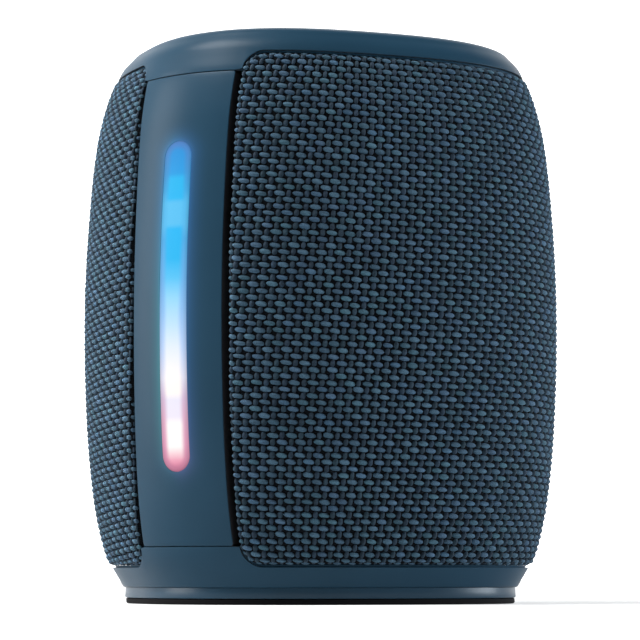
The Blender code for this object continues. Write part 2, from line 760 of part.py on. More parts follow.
def build_panel(materials):
    """Control panel with its openings, the status light and the switch board."""
    panel = add_object("control_panel", rounded_prism(56.0, 28.0, 6.0, PANEL_BOTTOM, PANEL_TOP),
                       materials["gloss"])
    combine(panel, "UNION", rounded_prism(60.0, 32.0, 8.0, PANEL_BOTTOM, 114.4))
    combine(panel, "DIFFERENCE", rounded_prism(53.0, 25.0, 4.5, 110.0, PANEL_SKIN))
    holes = bmesh.new()
    for _, x, y, radius in BUTTONS:
        add_cylinder(holes, (x, y), radius + 0.25, 112.0, 118.0, 16)
    add_cylinder(holes, (8.0, 8.0), 1.0, 112.0, 118.0, 12)
    combine(panel, "DIFFERENCE", holes)
    place = Matrix.Translation(Vector((8.0, 8.0, 0.0)) * MM)
    light = [(0.0, 116.35), (0.5, 116.3), (0.8, 116.1), (0.8, 114.5), (1.5, 114.5),
             (1.5, 113.6), (0.0, 113.6)]
    add_object("status_light", turned(light, 14, place), materials["clear"])
    board = add_object("button_board", box((-35.0, -13.0, BOARD_TOP - BOARD_THICKNESS),
                                           (35.0, 13.0, BOARD_TOP)), materials["board"], False)
    switches = bmesh.new()
    for _, x, y, _ in BUTTONS:
        add_box(switches, (x - 2.2, y - 2.2, BOARD_TOP - 0.4), (x + 2.2, y + 2.2, SWITCH_TOP))
    combine(board, "UNION", switches)


def build_button(name, x, y, radius, material):
    """Push button with its collar and plunger."""
    place = Matrix.Translation(Vector((x, y, 0.0)) * MM)
    section = [(0.0, BUTTON_TOP), (radius - 0.5, BUTTON_TOP), (radius, BUTTON_TOP - 0.4),
               (radius, 114.5), (radius + 0.8, 114.5), (radius + 0.8, 113.7), (1.5, 113.7),
               (1.5, SWITCH_TOP + BUTTON_TRAVEL + 0.1), (0.0, SWITCH_TOP + BUTTON_TRAVEL + 0.1)]
    button = add_object(name, turned(section, 16, place), material)
    low, high = BUTTON_TOP - 0.3, BUTTON_TOP + 1.0
    mark = bmesh.new()
    if name in ("button_volume_down", "button_volume_up"):
        add_box(mark, (x - 2.0, y - 0.35, low), (x + 2.0, y + 0.35, high))
    if name == "button_volume_up":
        combine(button, "DIFFERENCE", box((x - 0.35, y - 2.0, low), (x + 0.35, y + 2.0, high)))
    if name == "button_play":
        bmesh.ops.create_cone(mark, cap_ends=True, segments=3, radius1=2.2 * MM, radius2=2.2 * MM,
                              depth=(high - low) * MM,
                              matrix=Matrix.Translation(Vector((x, y, 0.5 * (low + high))) * MM)
                              @ Matrix.Rotation(math.radians(-90.0), 4, "Z"))
    if len(mark.verts):
        combine(button, "DIFFERENCE", mark)
    else:
        mark.free()
    return button


# ---------------------------------------------------------------- electronics


def build_electronics(materials):
    """Battery cells, their holder and the main board."""
    for number, x in enumerate((-10.5, 10.5), 1):
        place = Matrix.Translation(Vector((x, 12.0, 0.0)) * MM)
        section = [(0.0, 88.6), (2.8, 88.6), (2.8, 88.0), (8.2, 88.0), (9.1, 87.2), (9.1, 24.0),
                   (8.4, 23.4), (0.0, 23.4)]
        add_object(f"battery_cell_{number}", turned(section, 18, place), materials["cell"])
    holder = add_object("battery_holder", rounded_prism(43.0, 20.6, 3.0, 19.0, 44.0, (0.0, 12.0)),
                        materials["plastic"])
    bores = bmesh.new()
    for x in (-10.5, 10.5):
        add_cylinder(bores, (x, 12.0), 9.4, 23.0, 50.0, 18)
    combine(holder, "DIFFERENCE", bores)
    board = add_object("main_board", box((-23.0, -19.0, 8.4), (23.0, 19.0, 9.6)),
                       materials["board"], False)
    parts = bmesh.new()
    add_box(parts, (-6.0, -6.0, 9.2), (4.0, 4.0, 10.8))
    add_box(parts, (8.0, -12.0, 9.2), (14.0, -6.0, 12.2))
    add_box(parts, (8.0, -3.0, 9.2), (14.0, 3.0, 12.2))
    add_box(parts, (-18.0, 8.0, 9.2), (-10.0, 12.0, 11.6))
    combine(board, "UNION", parts)


def build_ports(materials):
    """Recessed tray with its two sockets, their board and the hinged cover."""
    tray = (port_edges, PORT_BOTTOM, PORT_TOP, 2.4, 9.6, 2, 3, 2)
    middle = STRIP_CENTRE + 180.0
    obj = add_object("port_tray", slab(tray, -1.2, COLUMN_FACE + COLUMN_WALL + GAP, TRAY_BACK),
                     materials["plastic"])
    combine(obj, "DIFFERENCE", slab(tray, 1.0, 0.0, TRAY_FLOOR))
    usb = surface_frame(middle, USB_Z)
    aux = surface_frame(middle, AUX_Z)
    holes = bmesh.new()
    add_box(holes, (-2.0, -4.9, -9.0), (2.0, 4.9, -3.0), usb)
    add_cylinder(holes, (0.0, 0.0), 3.3, -9.0, -3.0, 20, aux)
    combine(obj, "DIFFERENCE", holes)
    socket = bmesh.new()
    add_box(socket, (-1.65, -4.55, -8.6), (1.65, 4.55, -4.2), usb)
    socket_obj = add_object("usb_c_socket", socket, materials["steel"], False)
    bore = bmesh.new()
    add_box(bore, (-1.25, -4.15, -8.1), (1.25, 4.15, -3.0), usb)
    combine(socket_obj, "DIFFERENCE", bore)
    tongue = bmesh.new()
    add_box(tongue, (-0.35, -3.3, -8.3), (0.35, 3.3, -4.8), usb)
    combine(socket_obj, "UNION", tongue)
    ring = [(1.8, -4.2), (3.0, -4.2), (3.0, -8.6), (0.0, -8.6), (0.0, -8.0), (1.8, -8.0)]
    add_object("aux_socket", turned(ring, 20, aux), materials["plastic"])
    board = bmesh.new()
    add_box(board, (-4.5, -10.4, -9.9), (4.5, 10.4, -8.9), surface_frame(middle, 26.0))
    add_object("port_board", board, materials["board"], False)
    door = (port_edges, PORT_BOTTOM, PORT_TOP, 2.4, 9.6, 2, 3, 2)
    cover = add_object("port_door", slab(door, 0.25, COLUMN_FACE, 2.4), materials["rubber"])
    start, end = port_edges(profile(26.0))
    pivot = surface_point(end, 26.0, COLUMN_FACE)
    cover.data.transform(Matrix.Translation(-pivot))
    cover.location = pivot


def main():
    """Build the whole speaker."""
    global SPEAKER, CUTTERS
    clear_scene()
    SPEAKER = make_collection("party_speaker")
    CUTTERS = make_collection("cutters")
    navy = make_material("navy_plastic", (0.045, 0.075, 0.115), 0.42)
    foot = make_material("foot_plastic", (0.03, 0.05, 0.08), 0.5)
    lens = make_material("lens", (0.55, 0.72, 0.9), 0.3, emission=(0.1, 0.45, 0.85))
    cloth = make_material("woven_cloth", (0.05, 0.08, 0.12), 0.9)
    materials = {
        "plastic": make_material("black_plastic", (0.02, 0.02, 0.022), 0.5),
        "gloss": make_material("gloss_plastic", (0.02, 0.03, 0.045), 0.2),
        "rubber": make_material("black_rubber", (0.02, 0.02, 0.02), 0.8),
        "steel": make_material("steel", (0.5, 0.5, 0.52), 0.35, 1.0),
        "ferrite": make_material("ferrite", (0.05, 0.05, 0.055), 0.7),
        "copper": make_material("copper_wire", (0.7, 0.32, 0.15), 0.35, 1.0),
        "paper": make_material("cone_paper", (0.03, 0.03, 0.032), 0.8),
        "cloth": make_material("spider_cloth", (0.55, 0.4, 0.18), 0.9),
        "foam": make_material("foam", (0.04, 0.04, 0.04), 0.95),
        "board": make_material("circuit_board", (0.02, 0.12, 0.06), 0.5),
        "cell": make_material("cell_wrap", (0.05, 0.2, 0.5), 0.4),
        "clear": make_material("clear_plastic", (0.8, 0.85, 0.9), 0.15),
    }
    front_strip = strip_edges(0.0, STRIP_SPAN)
    rear_strip = strip_edges(180.0, STRIP_SPAN)
    build_cap(navy)
    build_base(navy)
    build_foot(foot, materials["rubber"])
    build_screws(materials["steel"])
    build_column("led_column_front", front_column, front_strip, STRIP_BOTTOM, False, navy)
    build_column("led_column_rear", rear_column, rear_strip, REAR_STRIP_BOTTOM, True, navy)
    build_lens("led_lens_front", front_strip, STRIP_BOTTOM, lens)
    build_lens("led_lens_rear", rear_strip, REAR_STRIP_BOTTOM, lens)
    build_light_board("led_board_front", front_strip, STRIP_BOTTOM, 12, materials["board"])
    build_light_board("led_board_rear", rear_strip, REAR_STRIP_BOTTOM, 9, materials["board"])
    build_grille("front", front_grille, cloth, materials["plastic"])
    build_grille("rear", rear_grille, cloth, materials["plastic"])
    build_enclosure(materials["plastic"], materials["foam"])
    build_driver(materials)
    build_radiator(materials)
    build_panel(materials)
    for name, x, y, radius in BUTTONS:
        build_button(name, x, y, radius, materials["rubber"])
    build_electronics(materials)
    build_ports(materials)
    for obj in list(SPEAKER.objects) + list(CUTTERS.objects):
        obj.location.z -= FLOOR * MM


main()
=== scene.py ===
"""Looks for the portable party speaker: woven grilles, lit columns, cap, base, controls and finishes."""
import math

import bmesh
import bpy
import numpy as np
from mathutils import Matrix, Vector

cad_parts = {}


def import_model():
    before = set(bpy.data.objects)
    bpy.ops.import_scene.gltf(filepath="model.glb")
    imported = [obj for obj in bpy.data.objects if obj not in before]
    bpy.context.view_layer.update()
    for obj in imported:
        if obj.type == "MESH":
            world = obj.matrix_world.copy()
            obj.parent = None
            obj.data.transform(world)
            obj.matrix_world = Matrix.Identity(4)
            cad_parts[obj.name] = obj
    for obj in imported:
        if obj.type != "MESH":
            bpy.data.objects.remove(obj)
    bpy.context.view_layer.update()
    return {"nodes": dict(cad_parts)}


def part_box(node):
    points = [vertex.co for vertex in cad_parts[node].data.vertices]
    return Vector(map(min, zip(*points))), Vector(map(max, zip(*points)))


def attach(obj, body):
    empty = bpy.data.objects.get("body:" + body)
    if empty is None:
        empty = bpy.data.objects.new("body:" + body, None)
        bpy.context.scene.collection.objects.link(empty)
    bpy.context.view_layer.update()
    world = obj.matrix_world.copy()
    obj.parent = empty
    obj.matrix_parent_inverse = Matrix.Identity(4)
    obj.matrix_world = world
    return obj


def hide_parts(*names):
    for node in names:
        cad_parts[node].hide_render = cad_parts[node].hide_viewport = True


MM = 0.001
CABINET = "cabinet"

# Cabinet plan and side profile in millimetres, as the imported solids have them
HALF_WIDTH = 48.9
HALF_DEPTH = 42.5
ROUNDNESS = 2.55
HEIGHT = 117.0
FLOOR = -1.0
PROFILE = np.array(((0.2, 0.818), (2.4, 0.836), (7.5, 0.893), (13.0, 0.928), (21.0, 0.959),
                    (34.0, 0.9855), (52.0, 1.0005), (68.0, 0.998), (85.0, 0.9775), (96.0, 0.953),
                    (102.0, 0.9275), (106.0, 0.9035), (109.0, 0.880), (111.5, 0.859),
                    (113.5, 0.8235), (115.0, 0.784), (116.0, 0.682), (116.7, 0.556),
                    (HEIGHT, 0.443)))
BASE_BOTTOM = 2.4
BASE_SEAM = 10.6
SKIRT = 5.9
LEDGE = 5.4
CAP_SEAM = 105.6
CAP_SHOULDER = 110.4
CAP_CEILING = 114.8
CAP_WALL = 2.0
SEAM = 0.06
FACE = 0.4
WALL = 2.2
RIM = 5.0
COLUMN_LEFT = -160.8
COLUMN_RIGHT = -135.2
LEFT_LEAN = 31.0
RIGHT_LEAN = 9.6
TURNS = {"front": 0.0, "rear": 180.0}
STRIP_CENTRE = -147.75
STRIP_SPAN = 7.6
STRIP_TOP = 91.5
STRIP_BOTTOMS = {"front": 25.3, "rear": 43.0}
PORT_SPAN = 11.2
PORT_BOTTOM = 15.0
PORT_TOP = 37.0
GRILLE_BOTTOM = 7.0
GRILLE_TOP = 109.3
GRILLE_CORNER = 3.9
GRILLE_MARGIN = 1.5
GRILLE_LENGTH = 112.0
CLOTH = 0.8
CLOTH_GAP = 0.5
LIP_GAP = 0.06
LIP_SEAM = 0.02
SCREW_REACH = (28.0, 16.0)
# Walls that face outward less than this share and stand above this height get painted groove shade
GROOVE_FACING = 0.35
GROOVE_LOWEST = 7.2
SHARP_ANGLE = 38.0
LEAST_SHARE = 0.88

# Threads of each grille, and how far they lean, rise and tilt
WARPS = 66
WEFTS = 79
WEAVE_LEAN = 0.035
WARP_RISE = 0.34
WEFT_RISE = 0.40
ROW_TILT = {"front": 0.0, "rear": 0.13}

# Symbol of each button, with the symbols' bars in millimetres from the button's centre
BUTTONS = {"button_volume_down": "minus", "button_play": "play", "button_volume_up": "plus",
           "button_power": "power", "button_bluetooth": "waves", "button_light": "lamp"}
BARS = {"minus": ((-2.0, -0.35, 2.0, 0.35),),
        "plus": ((-2.0, -0.35, 2.0, 0.35), (-0.35, 0.4, 0.35, 2.0), (-0.35, -2.0, 0.35, -0.4))}
SYMBOL_FOOT = 116.6
SYMBOL_TOP = 116.95

# Colours of the light strip by height share: its core, its rim and the glow round it
CORE = ((0.00, "c85078"), (0.035, "e89cb0"), (0.075, "fff4f0"), (0.14, "fff8f4"),
        (0.165, "ebe2f0"), (0.215, "e8e2f0"), (0.235, "fcf2ec"), (0.28, "fdf4f0"),
        (0.37, "e0e8fa"), (0.44, "bcdcf8"), (0.52, "90d0f4"), (0.58, "50bcec"),
        (0.64, "00aee8"), (0.73, "00aeea"), (0.745, "4fb8e8"), (0.81, "4fb8e8"),
        (0.825, "00aee8"), (0.885, "00aee6"), (0.90, "0094da"), (0.97, "0088d0"),
        (1.00, "2a78c4"))
EDGE_GLOW = ((0.00, "b4647f"), (0.08, "d890ac"), (0.16, "d4a0b8"), (0.22, "ccaec8"),
             (0.28, "d8d4e4"), (0.37, "b0c6ea"), (0.48, "86b4e4"), (0.58, "60a6de"),
             (0.70, "3ea0da"), (0.74, "4aaee0"), (0.81, "46aee0"), (0.85, "2a9ad4"),
             (0.90, "2c8ac8"), (1.00, "3a72b8"))
HALO_LEFT = ((0.00, "304c5c"), (0.10, "3a7474"), (0.30, "3a8a8a"), (0.50, "2c8490"),
             (0.65, "1a80a0"), (0.80, "187cb0"), (1.00, "2070a8"))
HALO_RIGHT = ((0.00, "4a4a78"), (0.15, "3c4c86"), (0.35, "2a5088"), (0.60, "2a5a98"),
              (0.80, "245ea0"), (1.00, "2a5a98"))

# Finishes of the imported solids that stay, by the start of their names
CARRIED = {
    "steel": ("base_screw", "driver_basket", "driver_top_plate", "driver_yoke", "driver_screw",
              "radiator_plate", "usb_c_socket"),
    "plastic": ("grille_frame", "enclosure_front", "enclosure_rear", "radiator_frame",
                "battery_holder", "port_tray", "aux_socket"),
    "board": ("led_board", "button_board", "main_board", "port_board"),
    "foam": ("enclosure_gasket", "driver_gasket"),
    "paper": ("driver_cone", "driver_dust_cap"),
    "rubber": ("driver_surround", "radiator_surround"),
    "ferrite": ("driver_magnet",),
    "copper": ("driver_voice_coil",),
    "spider": ("driver_spider",),
    "clear": ("status_light",),
    "cell": ("battery_cell",),
}

# Camera, in degrees and metres
VIEW_TURN = 21.6
VIEW_DISTANCE = 0.600
VIEW_HEIGHT = 0.006
VIEW_AIM = 0.060
LENS = 159.2


# --- surface


def plan_radius(angle):
    """Distance from the centre line to the full plan outline, for angles in degrees."""
    turn = np.radians(angle)
    across = np.abs(np.cos(turn)) / HALF_WIDTH
    along = np.abs(np.sin(turn)) / HALF_DEPTH
    return (across ** ROUNDNESS + along ** ROUNDNESS) ** (-1.0 / ROUNDNESS)


def profile(z):
    """Share of the full plan that the cabinet has at each height."""
    heights, shares = PROFILE[:, 0], PROFILE[:, 1]
    z = np.clip(np.asarray(z, float), heights[0], heights[-1])
    last = len(heights) - 1
    index = np.clip(np.searchsorted(heights, z, side="left") - 1, 0, last - 1)
    below = np.maximum(np.arange(last + 1) - 1, 0)
    above = np.minimum(np.arange(last + 1) + 1, last)
    slope = (shares[above] - shares[below]) / (heights[above] - heights[below])
    step = heights[index + 1] - heights[index]
    t = (z - heights[index]) / step
    smooth = t * t * (3.0 - 2.0 * t)
    lead = slope[index] * step * t * (1.0 - t) ** 2
    trail = slope[index + 1] * step * t * t * (1.0 - t)
    return shares[index] + (shares[index + 1] - shares[index]) * smooth + lead - trail


def surface(angle, z, inset=0.0):
    """Points at a depth below the cabinet surface, in millimetres."""
    angle, z = np.broadcast_arrays(np.asarray(angle, float), np.asarray(z, float))
    radius = plan_radius(angle) * profile(z) - inset
    turn = np.radians(angle)
    return np.stack((radius * np.cos(turn), radius * np.sin(turn), z), -1)


def outward(angle, z):
    """Unit normals of the cabinet surface."""
    side = surface(angle + 0.3, z) - surface(angle - 0.3, z)
    up = surface(angle, z + 0.3) - surface(angle, z - 0.3)
    normal = np.cross(side, up)
    return normal / np.linalg.norm(normal, axis=-1, keepdims=True)


def column_edges(share):
    """Angles of the front light column's sides."""
    lack = 1.0 - share
    return COLUMN_LEFT - LEFT_LEAN * lack, COLUMN_RIGHT + RIGHT_LEAN * lack


def turned_edges(turn):
    """Sides of a light column turned about the centre line."""
    def edges(share):
        left, right = column_edges(share)
        return left + turn, right + turn
    return edges


def grille_edges(turn):
    """Sides of a grille turned about the centre line."""
    def edges(share):
        left, right = column_edges(share)
        return right + GRILLE_MARGIN / share + turn, left + 180.0 - GRILLE_MARGIN / share + turn
    return edges


def centred_edges(span, turn):
    """Sides of an opening in the middle of a column."""
    def edges(share):
        middle = STRIP_CENTRE + turn
        return middle - 0.5 * span / share, middle + 0.5 * span / share
    return edges


# --- mesh making


def placed(vertices):
    """Vertices in metres in the record's frame, whose floor is under the pad."""
    return ((np.asarray(vertices, float) - (0.0, 0.0, FLOOR)) * MM).tolist()


def add_object(name, vertices, faces, material, body=CABINET, replaces=()):
    """Make a smooth-shaded piece from millimetre vertices and attach it to its body."""
    mesh = bpy.data.meshes.new(name)
    mesh.from_pydata(placed(vertices), [], faces)
    mesh.update()
    return finish_object(name, mesh, material, body, replaces)


def finish_object(name, mesh, material, body=CABINET, replaces=()):
    """Shade a mesh, give it its material and attach it."""
    bm = bmesh.new()
    bm.from_mesh(mesh)
    bmesh.ops.remove_doubles(bm, verts=bm.verts, dist=1e-7)
    bmesh.ops.recalc_face_normals(bm, faces=bm.faces)
    bm.to_mesh(mesh)
    bm.free()
    mesh.shade_smooth()
    mesh.set_sharp_from_angle(angle=math.radians(SHARP_ANGLE))
    mesh.materials.clear()
    mesh.materials.append(material)
    obj = bpy.data.objects.new(name, mesh)
    bpy.context.scene.collection.objects.link(obj)
    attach(obj, body)
    if replaces:
        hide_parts(*replaces)
    return obj


def stations(length, corner, shrink, middle, steps):
    """Positions along a panel and the drop its rounded corner makes at each."""
    radius = max(corner - shrink, 0.01)
    turn = np.linspace(0.0, 0.5 * math.pi, steps + 1)
    near = shrink + radius * (1.0 - np.cos(turn))
    drop = radius * (1.0 - np.sin(turn))
    straight = np.linspace(corner, length - corner, middle + 1)[1:-1]
    position = np.concatenate((near, straight, length - near[::-1]))
    return position, np.concatenate((drop, np.zeros(len(straight)), drop[::-1]))


def panel_grid(panel, shrink, inset):
    """Grid of points over a panel of the cabinet, columns first."""
    edges, low, high, corner, length, middle, rows, steps = panel
    position, drop = stations(length, corner, shrink, middle, steps)
    share = np.linspace(0.0, 1.0, rows + 1)
    bottom = low + shrink + drop[:, None]
    top = high - shrink - drop[:, None]
    z = bottom + (top - bottom) * share[None, :]
    start, end = edges(profile(z))
    angle = start + (end - start) * position[:, None] / length
    return surface(angle, z, inset)


def border(columns, rows):
    """Index pairs round the border of a grid, in order."""
    loop = [(column, 0) for column in range(columns)]
    loop += [(columns - 1, row) for row in range(1, rows)]
    loop += [(column, rows - 1) for column in range(columns - 2, -1, -1)]
    loop += [(0, row) for row in range(rows - 2, 0, -1)]
    return loop


def band(first, second):
    """Quads between two closed rings of vertex numbers."""
    size = len(first)
    return [(first[index], first[(index + 1) % size], second[(index + 1) % size], second[index])
            for index in range(size)]


def panel_mesh(panel, layers):
    """Vertices and faces of a closed panel through (shrink, inset) layers."""
    grids = [panel_grid(panel, shrink, inset) for shrink, inset in layers]
    columns, rows = grids[0].shape[:2]
    count = columns * rows
    vertices = [grids[0].reshape(-1, 3), grids[-1].reshape(-1, 3)]
    faces = []
    for offset in (0, count):
        for column in range(columns - 1):
            for row in range(rows - 1):
                first = offset + column * rows + row
                faces.append((first, first + rows, first + rows + 1, first + 1))
    loop = border(columns, rows)
    rings = [[column * rows + row for column, row in loop]]
    total = 2 * count
    for grid in grids[1:-1]:
        vertices.append(np.array([grid[column, row] for column, row in loop]))
        rings.append(list(range(total, total + len(loop))))
        total += len(loop)
    rings.append([count + index for index in rings[0]])
    for first, second in zip(rings, rings[1:]):
        faces += band(first, second)
    return np.concatenate(vertices), faces


def numbered(loops):
    """All vertices of some loops, and each loop's vertex numbers."""
    size = len(loops[0])
    vertices = np.concatenate([np.asarray(loop, float) for loop in loops])
    return vertices, [range(ring * size, (ring + 1) * size) for ring in range(len(loops))]


def loft_mesh(loops):
    """Vertices and faces of a closed solid through loops, capped at both ends."""
    vertices, rings = numbered(loops)
    faces = []
    for first, second in zip(rings, rings[1:]):
        faces += band(first, second)
    return vertices, faces + [tuple(rings[0]), tuple(rings[-1])]


def tube_mesh(loops):
    """Vertices and faces of a closed ring-shaped solid through loops."""
    vertices, rings = numbered(loops)
    faces = []
    for first, second in zip(rings, rings[1:] + rings[:1]):
        faces += band(first, second)
    return vertices, faces


def turned_mesh(section, centre, segments=64):
    """Vertices and faces turned about an upright axis from (radius, height) points."""
    vertices = []
    faces = []
    count = len(section)
    for segment in range(segments):
        turn = 2.0 * math.pi * segment / segments
        for radius, height in section:
            vertices.append((centre[0] + radius * math.cos(turn),
                             centre[1] + radius * math.sin(turn), height))
    for segment in range(segments):
        after = (segment + 1) % segments
        for index in range(count - 1):
            faces.append((segment * count + index, after * count + index,
                          after * count + index + 1, segment * count + index + 1))
    for index in (0, count - 1):
        faces.append(tuple(segment * count + index for segment in range(segments)))
    return vertices, faces


def plain_mesh(name, vertices, faces):
    """Mesh in metres from millimetre vertices, its normals made consistent."""
    mesh = bpy.data.meshes.new(name)
    mesh.from_pydata(placed(vertices), [], faces)
    bm = bmesh.new()
    bm.from_mesh(mesh)
    bmesh.ops.recalc_face_normals(bm, faces=bm.faces)
    bm.to_mesh(mesh)
    bm.free()
    return mesh


def boolean_mesh(name, base, cutters, operation="DIFFERENCE"):
    """Mesh left after cutting closed meshes from a closed mesh."""
    scene = bpy.context.scene
    target = bpy.data.objects.new(name, base)
    scene.collection.objects.link(target)
    helpers = []
    for number, cutter in enumerate(cutters):
        helper = bpy.data.objects.new(f"{name}_cut_{number}", cutter)
        scene.collection.objects.link(helper)
        modifier = target.modifiers.new("Cut", "BOOLEAN")
        modifier.operation = operation
        modifier.solver = "EXACT"
        modifier.object = helper
        helpers.append(helper)
    graph = bpy.context.evaluated_depsgraph_get()
    result = bpy.data.meshes.new_from_object(target.evaluated_get(graph))
    for helper in helpers + [target]:
        bpy.data.objects.remove(helper, do_unlink=True)
    return result


def rounded_outline(width, depth, radius, z, steps=10):
    """Rounded rectangle round the centre line, in a horizontal plane."""
    points = []
    for corner in range(4):
        across = (0.5 * width - radius) * (1 if corner in (0, 3) else -1)
        along = (0.5 * depth - radius) * (1 if corner in (0, 1) else -1)
        for step in range(steps + 1):
            turn = 0.5 * math.pi * (corner + step / steps)
            points.append((across + radius * math.cos(turn), along + radius * math.sin(turn), z))
    return points


def plan_outline(share, z, segments=192):
    """Cabinet-shaped outline in a horizontal plane."""
    angle = np.arange(segments) * 360.0 / segments
    radius = plan_radius(angle) * share
    turn = np.radians(angle)
    return np.stack((radius * np.cos(turn), radius * np.sin(turn), np.full(segments, z)), -1)


# --- materials


def tone(code):
    """Linear colour from a six-digit display colour, or the colour itself."""
    if not isinstance(code, str):
        return code
    shares = [int(code[index:index + 2], 16) / 255.0 for index in (0, 2, 4)]
    return tuple(share / 12.92 if share < 0.04045 else ((share + 0.055) / 1.055) ** 2.4
                 for share in shares)


class Graph:
    """Short way of wiring a material's nodes."""

    def __init__(self, name):
        self.material = bpy.data.materials.new(name)
        self.material.use_nodes = True
        self.tree = self.material.node_tree
        self.shader = self.tree.nodes["Principled BSDF"]

    def set(self, socket, value):
        """Link a socket or store a plain value in it."""
        if isinstance(value, bpy.types.NodeSocket):
            self.tree.links.new(value, socket)
        elif isinstance(value, (tuple, list)) and len(value) == 3 and socket.type == "RGBA":
            socket.default_value = (*value, 1.0)
        else:
            socket.default_value = value

    def node(self, kind, inputs=None, **options):
        """Add a node with its options and inputs."""
        node = self.tree.nodes.new(kind)
        for key, value in options.items():
            setattr(node, key, value)
        for key, value in (inputs or {}).items():
            self.set(node.inputs[key], value)
        return node

    def math(self, operation, *values):
        """Result of a Math node."""
        node = self.node("ShaderNodeMath", operation=operation)
        for socket, value in zip(node.inputs, values):
            self.set(socket, value)
        return node.outputs[0]

    def mix(self, share, first, second, blend="MIX"):
        """Mix of two colours."""
        node = self.node("ShaderNodeMix", data_type="RGBA", blend_type=blend)
        self.set(node.inputs[0], share)
        self.set(node.inputs[6], first)
        self.set(node.inputs[7], second)
        return node.outputs[2]

    def ramp(self, value, stops):
        """Colour ramp over a value, from (position, colour) stops."""
        node = self.node("ShaderNodeValToRGB", {"Fac": value})
        elements = node.color_ramp.elements
        while len(elements) > 1:
            elements.remove(elements[-1])
        elements[0].position = stops[0][0]
        elements[0].color = (*tone(stops[0][1]), 1.0)
        for position, colour in stops[1:]:
            elements.new(position).color = (*tone(colour), 1.0)
        return node.outputs[0]

    def position(self):
        """Object coordinates."""
        return self.node("ShaderNodeTexCoord").outputs["Object"]

    def noise(self, scale, detail=3.0, vector=None, roughness=0.5):
        """Noise value in object space."""
        node = self.node("ShaderNodeTexNoise", {"Vector": vector or self.position(),
                                                "Scale": scale, "Detail": detail,
                                                "Roughness": roughness})
        return node.outputs["Fac"]

    def spread(self, value, low, high):
        """Map a value from 0..1 to a range."""
        node = self.node("ShaderNodeMapRange", {"Value": value, "To Min": low, "To Max": high})
        return node.outputs[0]

    def bump(self, height, strength, distance):
        """Bump normal from a height."""
        return self.node("ShaderNodeBump", {"Height": height, "Strength": strength,
                                            "Distance": distance}).outputs[0]

    def wave(self, scale, distortion, direction, details=None):
        """Wave value in object space."""
        inputs = {"Vector": self.position(), "Scale": scale, "Distortion": distortion}
        return self.node("ShaderNodeTexWave", {**inputs, **(details or {})},
                         bands_direction=direction).outputs["Fac"]

    def step(self, value, low, high):
        """Smooth step from 0 to 1 between two values."""
        return self.node("ShaderNodeMapRange", {"Value": value, "From Min": low, "From Max": high},
                         interpolation_type="SMOOTHSTEP").outputs[0]

    def principled(self, **values):
        """Set the shader's sockets by name."""
        for key, value in values.items():
            self.set(self.shader.inputs[key.replace("_", " ")], value)
        return self.material


def scaled(colour, share):
    """Colour made darker or lighter."""
    return tuple(part * share for part in colour)


def moulded(name, colour, roughness, grain=0.25, specular=0.5):
    """Moulded plastic with a faint spark-eroded grain and slight shade drift."""
    g = Graph(name)
    drift = g.noise(60.0, 2.0)
    fine = g.noise(5200.0, 2.0)
    shade = g.mix(drift, scaled(colour, 0.88), scaled(colour, 1.12))
    rough = g.math("ADD", g.spread(fine, roughness - 0.05, roughness + 0.05),
                   g.spread(drift, -0.03, 0.03))
    return g.principled(Base_Color=shade, Roughness=rough, Specular_IOR_Level=specular,
                        Normal=g.bump(fine, grain, 0.00003))


def metal(name, colour, roughness):
    """Machined or plated metal with fine streaks."""
    g = Graph(name)
    mapping = g.node("ShaderNodeMapping", {"Vector": g.position(), "Scale": (1.0, 1.0, 18.0)})
    lines = g.noise(900.0, 4.0, mapping.outputs[0])
    shade = g.mix(lines, scaled(colour, 0.8), colour)
    return g.principled(Base_Color=shade, Metallic=1.0,
                        Roughness=g.spread(lines, roughness - 0.1, roughness + 0.1),
                        Normal=g.bump(lines, 0.15, 0.00002))


def granular(name, low, high, scale, roughness, strength, depth, specular=0.4):
    """Matt material with a speckled or fibrous surface."""
    g = Graph(name)
    coarse = g.noise(scale, 5.0, roughness=0.65)
    cells = g.node("ShaderNodeTexVoronoi", {"Vector": g.position(), "Scale": scale * 1.7})
    blend = g.math("MULTIPLY", coarse, g.spread(cells.outputs["Distance"], 0.7, 1.2))
    return g.principled(Base_Color=g.mix(blend, low, high), Specular_IOR_Level=specular,
                        Roughness=g.spread(coarse, roughness - 0.08, roughness + 0.08),
                        Normal=g.bump(blend, strength, depth))


def ribbed(name, wave, colours, roughness, relief, **more):
    """Wire turns or cloth: one wave sets the colour, the roughness and the relief."""
    g = Graph(name)
    ribs = g.wave(*wave)
    return g.principled(Base_Color=g.mix(ribs, *colours), Roughness=g.spread(ribs, *roughness),
                        Normal=g.bump(ribs, *relief), **more)


def circuit(name):
    """Solder mask with tracks and bare pads."""
    g = Graph(name)
    tracks = g.node("ShaderNodeTexBrick", {
        "Vector": g.position(), "Scale": 160.0, "Mortar Size": 0.03, "Brick Width": 0.9,
        "Row Height": 0.22, "Color1": (0.012, 0.09, 0.04), "Color2": (0.016, 0.12, 0.055),
        "Mortar": (0.04, 0.24, 0.11)})
    pads = g.node("ShaderNodeTexVoronoi", {"Vector": g.position(), "Scale": 420.0})
    pad = g.math("LESS_THAN", pads.outputs["Distance"], 0.16)
    shade = g.mix(pad, tracks.outputs["Color"], (0.62, 0.55, 0.36))
    return g.principled(Base_Color=shade, Roughness=g.spread(pad, 0.38, 0.25),
                        Normal=g.bump(tracks.outputs["Fac"], 0.3, 0.00003))


